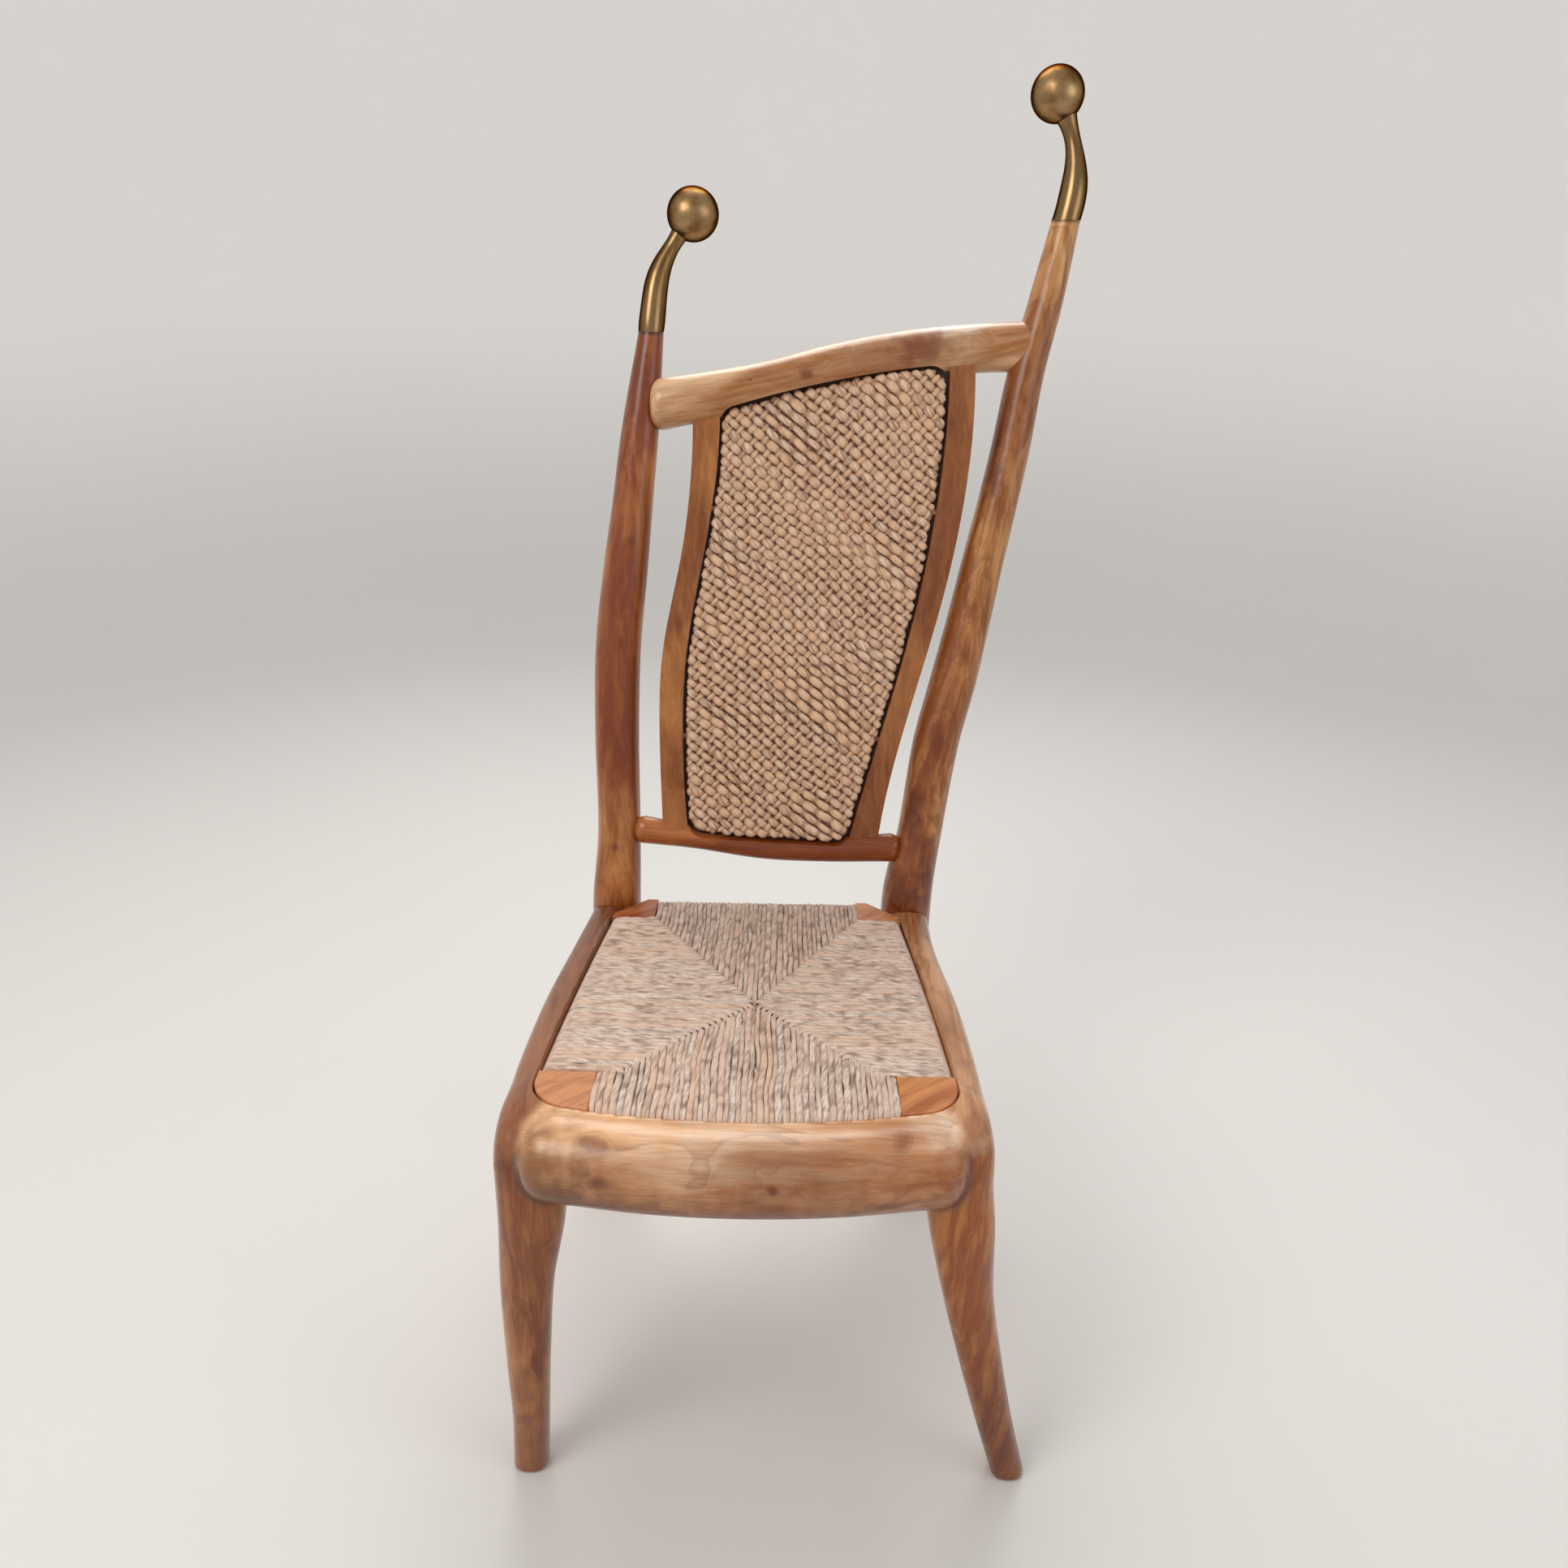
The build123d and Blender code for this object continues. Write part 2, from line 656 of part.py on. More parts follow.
def slat_body(side, edge, line):
    """Slat beside the panel, between the rails."""
    inner = edge_points(edge, side * panel_gap)
    outer = [(smooth_values(edge, rise)[0] + side * width, seat_height + rise) for rise, width in line]
    with BuildSketch(Plane.XZ) as outline:
        with BuildLine():
            Spline(*inner)
            Polyline(inner[-1], (inner[-1][0], outer[-1][1]), outer[-1])
            Spline(*reversed(outer))
            Polyline(outer[0], (inner[0][0], outer[0][1]), inner[0])
        make_face()
    half = slat_thickness / 2
    with BuildPart() as slat:
        add(raked_solid(outline.sketch.faces()[0], slat_shift - half, slat_shift + half))
        add(panel_dowels.part, mode=Mode.SUBTRACT)
    return slat.part


with BuildPart() as left_back_slat:
    add(slat_body(-1, panel_left_edge, left_slat_line))

with BuildPart() as right_back_slat:
    add(slat_body(1, panel_right_edge, right_slat_line))

# ---------------------------------------------------------------------------
# Crest rail and lower back rail
# ---------------------------------------------------------------------------

# Space of the back panel with its gap, open to the front
with BuildPart() as panel_rebate:
    add(raked_solid(panel_outline(panel_gap), -far, panel_shift + panel_thickness / 2))


def back_rail_stations(line, left_x, left_z, right_x, right_z, left_shift, right_shift):
    """Stations (x, y, z, height, depth) of a rail across the back."""
    stations = []
    for share, rise, height, depth in line:
        x = left_x + share * (right_x - left_x)
        z = left_z + share * (right_z - left_z) + rise
        y = back_y(z) + left_shift + share * (right_shift - left_shift)
        stations.append((x, y, z, height, depth))
    return stations


crest_left_x = post_x(-1, crest_left_z) + crest_left_inset + crest_end_length
crest_right_x = post_x(1, crest_right_z) - crest_right_inset
crest_stations = back_rail_stations(
    crest_line, crest_left_x, crest_left_z, crest_right_x, crest_right_z, crest_left_shift, crest_right_shift
)

lower_left_x = post_inner_x(-1, lower_left_z) - lower_rail_lap + lower_rail_end_length
lower_right_x = post_inner_x(1, lower_right_z) + lower_rail_lap - lower_rail_end_length
lower_stations = back_rail_stations(
    lower_rail_line,
    lower_left_x,
    lower_left_z,
    lower_right_x,
    lower_right_z,
    lower_rail_shift,
    lower_rail_shift,
)

back_cutters = (
    left_post_body,
    right_post_body,
    panel_rebate.part,
    left_back_slat.part,
    right_back_slat.part,
)

with BuildPart() as crest_rail:
    add(bar_body(crest_stations, crest_end_length, 0))
    for cutter in back_cutters:
        add(cutter, mode=Mode.SUBTRACT)
    add(crest_dowels.part, mode=Mode.SUBTRACT)

with BuildPart() as lower_back_rail:
    add(bar_body(lower_stations, lower_rail_end_length, lower_rail_end_length))
    for cutter in back_cutters:
        add(cutter, mode=Mode.SUBTRACT)
    add(lower_rail_dowels.part, mode=Mode.SUBTRACT)

# ---------------------------------------------------------------------------
# Back panel: a board with a woven cover all round
# ---------------------------------------------------------------------------

with BuildPart() as panel_board:
    half = core_thickness / 2
    add(raked_solid(panel_outline(-weave_edge), panel_shift - half, panel_shift + half))
    add(panel_dowels.part, mode=Mode.SUBTRACT)

with BuildPart() as woven_back_panel:
    half = panel_thickness / 2
    add(raked_solid(panel_outline(), panel_shift - half, panel_shift + half))
    broad_faces = woven_back_panel.faces().sort_by(SortBy.AREA)[-2:]
    fillet(broad_faces.edges(), panel_edge_round)
    add(panel_board.part, mode=Mode.SUBTRACT)
    add(panel_dowels.part, mode=Mode.SUBTRACT)

# ---------------------------------------------------------------------------
# Finials
# ---------------------------------------------------------------------------


def neck_line(side, path):
    """Centre line of a swan neck from the top of its post, leaning back with it."""
    top_z, top_x, _ = post_stations(side)[-1]
    with BuildLine() as line:
        Spline(*[(side * top_x + x, back_y(top_z + rise), top_z + rise) for x, rise in path])
    return line.edges()[0]


def neck_body(side, path, radii):
    """Swan neck: round sections along its centre line, ending inside the ball."""
    line = neck_line(side, path)
    post_top_width = post_stations(side)[-1][2]

    def section_at(distance, radius):
        share = distance / line.length
        along = line % share if share else (0, 0, 1)
        width = 2 * radius
        depth = width * (post_depth_ratio + share * (1 - post_depth_ratio))
        return oval_face(Plane(origin=line @ share, x_dir=(0, 1, 0), z_dir=along), depth, width)

    stations = [(0.0, post_top_width / 2)] + [(share * line.length, radius) for share, radius in radii]
    with BuildPart() as neck:
        loft(even_sections(stations, section_at))
    return neck.part


def ball_stud(side, path):
    """Stud that holds a ball on its neck, along the line between them."""
    line = neck_line(side, path)
    centre = line @ 1
    towards = (centre - line @ neck_aim).normalized()
    return cylinder_between(ball_stud_size, centre - towards * ball_radius, towards)


def ball_at(side, path):
    """Plain ball at the end of a neck's centre line, its poles in front and behind."""
    with BuildPart() as ball:
        with Locations(neck_line(side, path) @ 1):
            Sphere(ball_radius, rotation=(90, 0, 0))
    return ball.part


def finial_ball(side, path, stud):
    """Ball drilled for its stud."""
    with BuildPart() as ball:
        add(ball_at(side, path))
        add(stud.part, mode=Mode.SUBTRACT)
    return ball.part


def finial_neck(side, path, radii, studs):
    """Neck between a post and its ball, drilled for its studs."""
    with BuildPart() as neck:
        add(neck_body(side, path, radii))
        add(ball_at(side, path), mode=Mode.SUBTRACT)
        for stud in studs:
            add(stud.part, mode=Mode.SUBTRACT)
    return neck.part


with BuildPart() as left_ball_stud:
    add(ball_stud(-1, left_neck_path))

with BuildPart() as right_ball_stud:
    add(ball_stud(1, right_neck_path))

with BuildPart() as left_neck_stud:
    add(cylinder_between(neck_stud_size, neck_line(-1, left_neck_path) @ 0, (0, 0, 1)))

with BuildPart() as right_neck_stud:
    add(cylinder_between(neck_stud_size, neck_line(1, right_neck_path) @ 0, (0, 0, 1)))

with BuildPart() as left_finial_ball:
    add(finial_ball(-1, left_neck_path, left_ball_stud))

with BuildPart() as right_finial_ball:
    add(finial_ball(1, right_neck_path, right_ball_stud))

with BuildPart() as left_finial_neck:
    add(finial_neck(-1, left_neck_path, left_neck_radii, (left_ball_stud, left_neck_stud)))

with BuildPart() as right_finial_neck:
    add(finial_neck(1, right_neck_path, right_neck_radii, (right_ball_stud, right_neck_stud)))

# ---------------------------------------------------------------------------
# Back posts with their mortises
# ---------------------------------------------------------------------------

post_dowels = (side_rail_dowels, rear_rail_dowels, crest_dowels, lower_rail_dowels)

with BuildPart() as left_back_post:
    add(left_post_body)
    for dowels in (*post_dowels, left_neck_stud):
        add(dowels.part, mode=Mode.SUBTRACT)

with BuildPart() as right_back_post:
    add(right_post_body)
    for dowels in (*post_dowels, right_neck_stud):
        add(dowels.part, mode=Mode.SUBTRACT)

# ---------------------------------------------------------------------------
# Drop-in seat
# ---------------------------------------------------------------------------

front_block_inner_x = seat_front_half - front_block_width
front_block_rear_y = seat_front_y + front_block_length
rear_block_inner_x = seat_rear_half - rear_block_width
rear_block_front_y = seat_rear_y - rear_block_length


def block_corner(side, rear):
    """Plan rectangle that holds one corner block: from its inner corner outwards."""
    inner_x = rear_block_inner_x if rear else front_block_inner_x
    y = rear_block_front_y if rear else front_block_rear_y
    across = Align.MIN if side > 0 else Align.MAX
    back = Align.MIN if rear else Align.MAX
    with BuildSketch() as corner:
        with Locations((side * inner_x, y)):
            Rectangle(far, far, align=(across, back))
    return corner.sketch


# Ring of the four seat rails, before it is cut into its sides
rail_low_z = ledge_z + (seat_thickness - seat_rail_thickness) / 2
with BuildPart() as seat_rail_ring:
    with BuildSketch(Plane.XY.offset(rail_low_z)):
        add(seat_outline(-rush_cover))
        add(seat_outline(-rush_cover - seat_rail_width), mode=Mode.SUBTRACT)
    extrude(amount=seat_rail_thickness)


def seat_rail(x_range, y_range):
    """One side of the rail ring, between two corner blocks and into their mortises."""
    with BuildPart() as rail:
        add(seat_rail_ring.part)
        with BuildSketch(Plane.XY.offset(rail_low_z - seat_thickness)):
            with Locations((sum(x_range) / 2, sum(y_range) / 2)):
                Rectangle(x_range[1] - x_range[0], y_range[1] - y_range[0])
        extrude(amount=3 * seat_thickness, mode=Mode.INTERSECT)
    return rail.part


front_rail_reach = front_block_inner_x + seat_rail_tenon
rear_rail_reach = rear_block_inner_x + seat_rail_tenon
side_range = (front_block_rear_y - seat_rail_tenon, rear_block_front_y + seat_rail_tenon)

with BuildPart() as seat_front_rail:
    add(seat_rail((-front_rail_reach, front_rail_reach), (-far, side_range[0])))

with BuildPart() as seat_rear_rail:
    add(seat_rail((-rear_rail_reach, rear_rail_reach), (side_range[1], far)))

with BuildPart() as seat_left_rail:
    add(seat_rail((-far, 0), side_range))

with BuildPart() as seat_right_rail:
    add(seat_rail((0, far), side_range))

seat_rails = (seat_front_rail, seat_rear_rail, seat_left_rail, seat_right_rail)


def corner_block(side, rear):
    """Corner block of the drop-in seat with the mortises of the two rails it joins."""
    with BuildPart() as block:
        with BuildSketch(Plane.XY.offset(ledge_z)):
            add(seat_outline())
            add(block_corner(side, rear), mode=Mode.INTERSECT)
        extrude(amount=seat_thickness)
        fillet(block.faces().sort_by(Axis.Z)[-1].edges(), block_edge_round)
        for rail in seat_rails:
            add(rail.part, mode=Mode.SUBTRACT)
    return block.part


with BuildPart() as front_left_block:
    add(corner_block(-1, False))

with BuildPart() as front_right_block:
    add(corner_block(1, False))

with BuildPart() as rear_left_block:
    add(corner_block(-1, True))

with BuildPart() as rear_right_block:
    add(corner_block(1, True))

with BuildPart() as rush_seat:
    with BuildSketch(Plane.XY.offset(ledge_z + rush_underside_gap)):
        add(seat_outline())
        for side in (-1, 1):
            for rear in (False, True):
                add(block_corner(side, rear), mode=Mode.SUBTRACT)
    extrude(amount=seat_thickness - rush_underside_gap + rush_crown)
    for rail in seat_rails:
        add(rail.part, mode=Mode.SUBTRACT)

# ---------------------------------------------------------------------------
# Origin and export
# ---------------------------------------------------------------------------

pieces = {
    "left_back_post": left_back_post,
    "right_back_post": right_back_post,
    "crest_rail": crest_rail,
    "lower_back_rail": lower_back_rail,
    "left_back_slat": left_back_slat,
    "right_back_slat": right_back_slat,
    "panel_board": panel_board,
    "woven_back_panel": woven_back_panel,
    "front_rail": front_rail,
    "left_side_rail": left_side_rail,
    "right_side_rail": right_side_rail,
    "left_front_leg": left_front_leg,
    "right_front_leg": right_front_leg,
    "rear_seat_rail": rear_seat_rail,
    "left_finial_neck": left_finial_neck,
    "right_finial_neck": right_finial_neck,
    "left_finial_ball": left_finial_ball,
    "right_finial_ball": right_finial_ball,
    "left_neck_stud": left_neck_stud,
    "right_neck_stud": right_neck_stud,
    "left_ball_stud": left_ball_stud,
    "right_ball_stud": right_ball_stud,
    "front_rail_dowels": front_rail_dowels,
    "side_rail_dowels": side_rail_dowels,
    "rear_rail_dowels": rear_rail_dowels,
    "leg_dowels": leg_dowels,
    "crest_dowels": crest_dowels,
    "lower_rail_dowels": lower_rail_dowels,
    "panel_dowels": panel_dowels,
    "seat_front_rail": seat_front_rail,
    "seat_rear_rail": seat_rear_rail,
    "seat_left_rail": seat_left_rail,
    "seat_right_rail": seat_right_rail,
    "front_left_block": front_left_block,
    "front_right_block": front_right_block,
    "rear_left_block": rear_left_block,
    "rear_right_block": rear_right_block,
    "rush_seat": rush_seat,
}

boxes = [piece.part.bounding_box() for piece in pieces.values()]
low = [min(tuple(box.min)[axis] for box in boxes) for axis in range(3)]
high = [max(tuple(box.max)[axis] for box in boxes) for axis in range(3)]
origin = Vector((low[0] + high[0]) / 2, (low[1] + high[1]) / 2, low[2])

for name, piece in pieces.items():
    placed = piece.part.moved(Location(-origin))
    placed.label = name
    export_step(placed, f"parts/{name}.step")

print("seat-centred layout moved by", -origin)
print("overall size", [round(top - bottom, 1) for bottom, top in zip(low, high)])
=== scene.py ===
"""High-backed chair with a drop-in rush seat: its finishes, its weaving and its studio."""

import random
from math import copysign, cos, pi, radians, sin

import bmesh
import bpy
from bpy.props import FloatProperty, FloatVectorProperty, PointerProperty
from mathutils import Euler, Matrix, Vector, noise
from mathutils.bvhtree import BVHTree


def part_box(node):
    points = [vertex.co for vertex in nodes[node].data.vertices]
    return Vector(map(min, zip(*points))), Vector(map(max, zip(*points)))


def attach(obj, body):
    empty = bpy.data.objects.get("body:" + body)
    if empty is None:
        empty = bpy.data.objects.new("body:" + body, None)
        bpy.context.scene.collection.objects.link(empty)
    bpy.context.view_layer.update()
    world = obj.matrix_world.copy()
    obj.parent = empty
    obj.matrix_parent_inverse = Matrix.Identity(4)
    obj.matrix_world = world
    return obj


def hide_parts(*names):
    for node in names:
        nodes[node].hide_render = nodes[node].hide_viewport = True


bl_info = {
    "name": "High-backed chair",
    "version": (1, 0, 0),
    "blender": (4, 5, 0),
    "location": "View3D > Sidebar > Chair",
    "description": "Finishes and weaves a high-backed chair with a drop-in rush seat",
    "category": "Object",
}

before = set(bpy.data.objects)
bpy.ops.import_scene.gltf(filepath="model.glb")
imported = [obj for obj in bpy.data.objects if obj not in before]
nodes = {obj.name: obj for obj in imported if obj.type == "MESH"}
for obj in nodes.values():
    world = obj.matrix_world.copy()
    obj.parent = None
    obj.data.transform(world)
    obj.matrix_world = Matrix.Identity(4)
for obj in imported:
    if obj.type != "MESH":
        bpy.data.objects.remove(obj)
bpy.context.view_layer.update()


def middle_of(*names):
    """Middle of the box round some nodes."""
    corners = [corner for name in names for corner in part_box(name)]
    return (Vector(map(min, *corners)) + Vector(map(max, *corners))) / 2


SEAT_X = middle_of("front_left_block", "front_right_block").x
SEAT_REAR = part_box("rear_left_block")[1].y
SEAT_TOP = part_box("front_left_block")[1].z


# Settings


def shade(red, green, blue):
    """Linear colour from the three values of a paint chart, 0 to 255."""
    return tuple((value / 255.0) ** 2.2 for value in (red, green, blue))


def paint(name, description, *chart):
    """Colour setting with its default from a paint chart."""
    return FloatVectorProperty(name=name, description=description, default=shade(*chart),
                               size=3, subtype="COLOR", min=0, max=1)


class ChairWood(bpy.types.PropertyGroup):
    """Colours and gloss of the varnished frame."""

    honey: paint("Honey", "Light wood between the growth rings", 206, 150, 104)
    brown: paint("Brown", "Dark edge of the growth rings", 142, 84, 42)
    red: paint("Red", "Heartwood stains and knots", 112, 50, 20)
    gloss: FloatProperty(name="Varnish", description="Strength of the varnish",
                         default=0.8, min=0, max=1, subtype="FACTOR")


class ChairBrass(bpy.types.PropertyGroup):
    """Colours of the finials."""

    ball: paint("Ball", "Satin brass of the balls", 166, 136, 98)
    neck: paint("Neck", "Polished brass of the necks", 142, 116, 82)


class ChairRush(bpy.types.PropertyGroup):
    """Cords of the seat."""

    pitch: FloatProperty(name="Pitch", description="Distance between the cords of the seat",
                         default=0.0056, min=0.003, max=0.02, unit="LENGTH")
    colour: paint("Rush", "Pale rush of the seat", 238, 217, 200)


class ChairWeave(bpy.types.PropertyGroup):
    """Plait of the back panel."""

    pitch: FloatProperty(name="Pitch", description="Distance between the cords of the panel",
                         default=0.0098, min=0.005, max=0.04, unit="LENGTH")
    fall: FloatProperty(name="Fall", description="Slope of the cords that fall to the right",
                        default=radians(38), min=0, max=radians(90), subtype="ANGLE")
    climb: FloatProperty(name="Climb", description="Slope of the cords that climb to the right",
                         default=radians(47), min=0, max=radians(90), subtype="ANGLE")
    colour: paint("Fibre", "Tan fibre of the back panel", 239, 207, 177)


class ChairStudio(bpy.types.PropertyGroup):
    """Floor and lamps."""

    floor: paint("Floor", "Colour of the floor and the wall", 226, 223, 219)
    lamps: FloatProperty(name="Lamps", description="Strength of the lamps",
                         default=1.0, min=0, max=10)


# Shader parts


def add_node(tree, kind, inputs=(), **settings):
    """Adds a shader node, sets it, and fills or links its inputs from pairs of socket and value."""
    made = tree.nodes.new("ShaderNode" + kind)
    for name, value in settings.items():
        setattr(made, name, value)
    for socket, value in inputs:
        if isinstance(value, bpy.types.NodeSocket):
            tree.links.new(value, made.inputs[socket])
        else:
            made.inputs[socket].default_value = value
    return made


def maths(tree, kind, *values):
    """Output of a Math node."""
    return add_node(tree, "Math", enumerate(values), operation=kind).outputs[0]


def vectors(tree, kind, *values, output="Vector"):
    """Output of a Vector Math node."""
    made = add_node(tree, "VectorMath", enumerate(values), operation=kind)
    return made.outputs[output]


def mix_colour(tree, factor, first, second):
    """Output of a Mix node that mixes two colours."""
    inputs = [(0, factor), (6, first), (7, second)]
    return add_node(tree, "Mix", inputs, data_type="RGBA").outputs[2]


def mix_value(tree, factor, first, second):
    """Output of a Mix node that mixes two numbers."""
    inputs = [(0, factor), (2, first), (3, second)]
    return add_node(tree, "Mix", inputs, data_type="FLOAT").outputs[0]


def span(tree, value, start, end, low, high, curve="LINEAR"):
    """Output of a Map Range node that takes start to end onto low to high."""
    inputs = [("Value", value), ("From Min", start), ("From Max", end), ("To Min", low),
              ("To Max", high)]
    return add_node(tree, "MapRange", inputs, interpolation_type=curve).outputs[0]


def speckle(tree, place, scale, detail, rough=0.5, bend=0.0):
    """Outputs of a noise: its value, then its colour."""
    inputs = [("Vector", place), ("Scale", scale), ("Detail", detail), ("Roughness", rough),
              ("Distortion", bend)]
    return add_node(tree, "TexNoise", inputs).outputs


def object_place(tree):
    """Places in the object's own space."""
    return add_node(tree, "TexCoord").outputs["Object"]


def mesh_share(tree, name):
    """Value of a share that is kept on the mesh."""
    return add_node(tree, "Attribute", attribute_name=name).outputs["Fac"]


def toned(colour, *shares):
    """Colour with each channel times its share, and its alpha."""
    return (*[value * share for value, share in zip(colour, shares)], 1)


def new_group(name, inputs, outputs):
    """Node group from the names and kinds of its inputs and outputs."""
    tree = bpy.data.node_groups.new(name, "ShaderNodeTree")
    for way, sockets in (("INPUT", inputs), ("OUTPUT", outputs)):
        for kind, labels in sockets.items():
            for label in labels:
                tree.interface.new_socket(label, in_out=way, socket_type="NodeSocket" + kind)
    entry = tree.nodes.new("NodeGroupInput").outputs
    return tree, entry, tree.nodes.new("NodeGroupOutput").inputs


def build_knot_group():
    """Mask that fades from 1 at a place on the wood to 0 at a reach, with an uneven outline."""
    tree, entry, leave = new_group(
        "Knot", {"Vector": ("Place", "Centre", "Reach")}, {"Float": ("Mask",)})
    wander = speckle(tree, entry["Place"], 55.0, 1.5)["Color"]
    shift = vectors(tree, "SUBTRACT", wander, (0.5, 0.5, 0.5))
    away = vectors(tree, "SUBTRACT", entry["Place"], entry["Centre"])
    share = vectors(tree, "DIVIDE", away, entry["Reach"])
    share = vectors(tree, "MULTIPLY_ADD", shift, (0.8, 0.8, 0.8), share)
    length = vectors(tree, "LENGTH", share, output="Value")
    tree.links.new(span(tree, length, 0.08, 1.0, 1.0, 0.0, "SMOOTHERSTEP"), leave["Mask"])
    return tree


def build_grain_group():
    """Growth rings, streaks, pores and stains round a pith line along local X."""
    tree, entry, leave = new_group(
        "Grain",
        {"Vector": ("Place",), "Color": ("Honey", "Brown", "Red"),
         "Float": ("Push", "Ring", "Swirl", "Line", "Sharp", "Streak", "Stain")},
        {"Color": ("Color",), "Float": ("Roughness", "Height")},
    )
    across, along, fine = [vectors(tree, "MULTIPLY", entry["Place"], (stretch, 1.0, 1.0))
                           for stretch in (0.12, 0.4, 0.05)]
    swirl = speckle(tree, along, 17.0, 2.0, 0.42, 0.6)
    distance = vectors(tree, "LENGTH", across, output="Value")
    rings = maths(tree, "DIVIDE", distance, entry["Ring"])
    rings = maths(tree, "MULTIPLY_ADD", swirl[0], entry["Swirl"], rings)
    turn = maths(tree, "FRACT", maths(tree, "ADD", rings, entry["Push"]))
    drop = span(tree, turn, 0.955, 1.0, 1.0, 0.0, "SMOOTHSTEP")
    edge = maths(tree, "MULTIPLY", maths(tree, "POWER", turn, entry["Sharp"]), drop)
    line = maths(tree, "MULTIPLY", edge, entry["Line"])

    fibre = speckle(tree, fine, 420.0, 3.0, 0.6)[0]
    bent = vectors(tree, "MULTIPLY_ADD", swirl["Color"], (0.05, 0.03, 0.03), fine)
    streak = span(tree, speckle(tree, bent, 75.0, 4.0, 0.6)[0], 0.4, 0.62, -0.15, 1.15)
    cloud = speckle(tree, along, 8.0, 2.5)[0]
    shadow = span(tree, cloud, 0.38, 0.6, -0.2, 0.65, "SMOOTHSTEP")
    tone = maths(tree, "ADD", maths(tree, "MULTIPLY", streak, entry["Streak"]), shadow)
    tone = add_node(tree, "Clamp", [("Value", tone)]).outputs[0]
    stain = span(tree, cloud, 0.5, 0.74, 0.0, 1.0, "SMOOTHSTEP")
    ground = mix_colour(tree, tone, entry["Honey"], entry["Brown"])
    for mask in (maths(tree, "MULTIPLY", stain, entry["Stain"]), line):
        ground = mix_colour(tree, mask, ground, entry["Red"])
    pore = span(tree, fibre, 0.35, 0.65, 0.88, 1.1)
    shown = add_node(tree, "VectorMath", [(0, ground), ("Scale", pore)],
                     operation="SCALE").outputs[0]
    for label, value in (
        ("Color", shown),
        ("Roughness", span(tree, cloud, 0.3, 0.7, 0.3, 0.46)),
        ("Height", maths(tree, "MULTIPLY_ADD", edge, -0.5, fibre)),
    ):
        tree.links.new(value, leave[label])
    return tree


def new_material(name, fixed):
    """Material with its node tree and its shader, whose fixed sockets are set."""
    made = bpy.data.materials.new(name)
    made.use_nodes = True
    shader = made.node_tree.nodes["Principled BSDF"]
    for socket, value in fixed.items():
        shader.inputs[socket].default_value = value
    return made, made.node_tree, shader


def add_bump(tree, shader, height, distance, strength=1.0):
    """Bump from a height to the shader's normal."""
    bump = add_node(tree, "Bump",
                    [("Height", height), ("Distance", distance), ("Strength", strength)])
    tree.links.new(bump.outputs[0], shader.inputs["Normal"])


def place_mask(tree, groups, here, centre, reach):
    """Mask of one place on the wood."""
    inputs = [("Place", here), ("Centre", centre), ("Reach", reach)]
    made = add_node(tree, "Group", inputs, node_tree=groups["knot"])
    return made.outputs["Mask"]


def wood_grain(tree, here, groups, turn, pith, honey=(1, 1, 1), brown=(1, 1, 1), ring=0.01,
               swirl=3.0, line=0.3, sharp=6.0, streak=0.5, stain=0.3, knots_and_shade_streaks=(), tints_and_painted_light=()):
    """Colour, roughness and height of wood grain along a turned X axis through the pith.

    Honey and brown tint the two wood colours. Each knot, and the one streak of painted shade, is
    its centre, its reach, how far it pushes the rings and how dark it is. Each patch is its centre,
    its reach and its tint; some patches are painted shade, painted sheen and painted highlights."""
    wood = bpy.context.scene.chair_wood
    place = add_node(tree, "Mapping",
                     [("Vector", here), ("Location", tuple(-Vector(pith)))],
                     vector_type="POINT").outputs[0]
    place = add_node(tree, "Mapping", [("Vector", place), ("Rotation", turn)],
                     vector_type="TEXTURE").outputs[0]
    red = (*wood.red, 1)
    push = dark = 0.0
    for centre, reach, shove, depth in knots_and_shade_streaks:
        mask = place_mask(tree, groups, here, centre, reach)
        push = maths(tree, "MULTIPLY_ADD", mask, shove, push)
        dark = maths(tree, "MULTIPLY_ADD", mask, depth, dark)
    grain = add_node(
        tree, "Group",
        [("Place", place), ("Push", push), ("Honey", toned(wood.honey, *honey)),
         ("Brown", toned(wood.brown, *brown)), ("Red", red), ("Ring", ring), ("Swirl", swirl),
         ("Line", line), ("Sharp", sharp), ("Streak", streak), ("Stain", stain)],
        node_tree=groups["grain"],
    ).outputs
    colour = grain["Color"]
    if knots_and_shade_streaks:
        dark = add_node(tree, "Clamp", [("Value", dark), ("Max", 0.85)]).outputs[0]
        colour = mix_colour(tree, dark, colour, red)
    for centre, reach, tint in tints_and_painted_light:
        mask = place_mask(tree, groups, here, centre, reach)
        colour = mix_colour(tree, mask, colour, vectors(tree, "MULTIPLY", colour, tint))
    return colour, grain["Roughness"], grain["Height"]


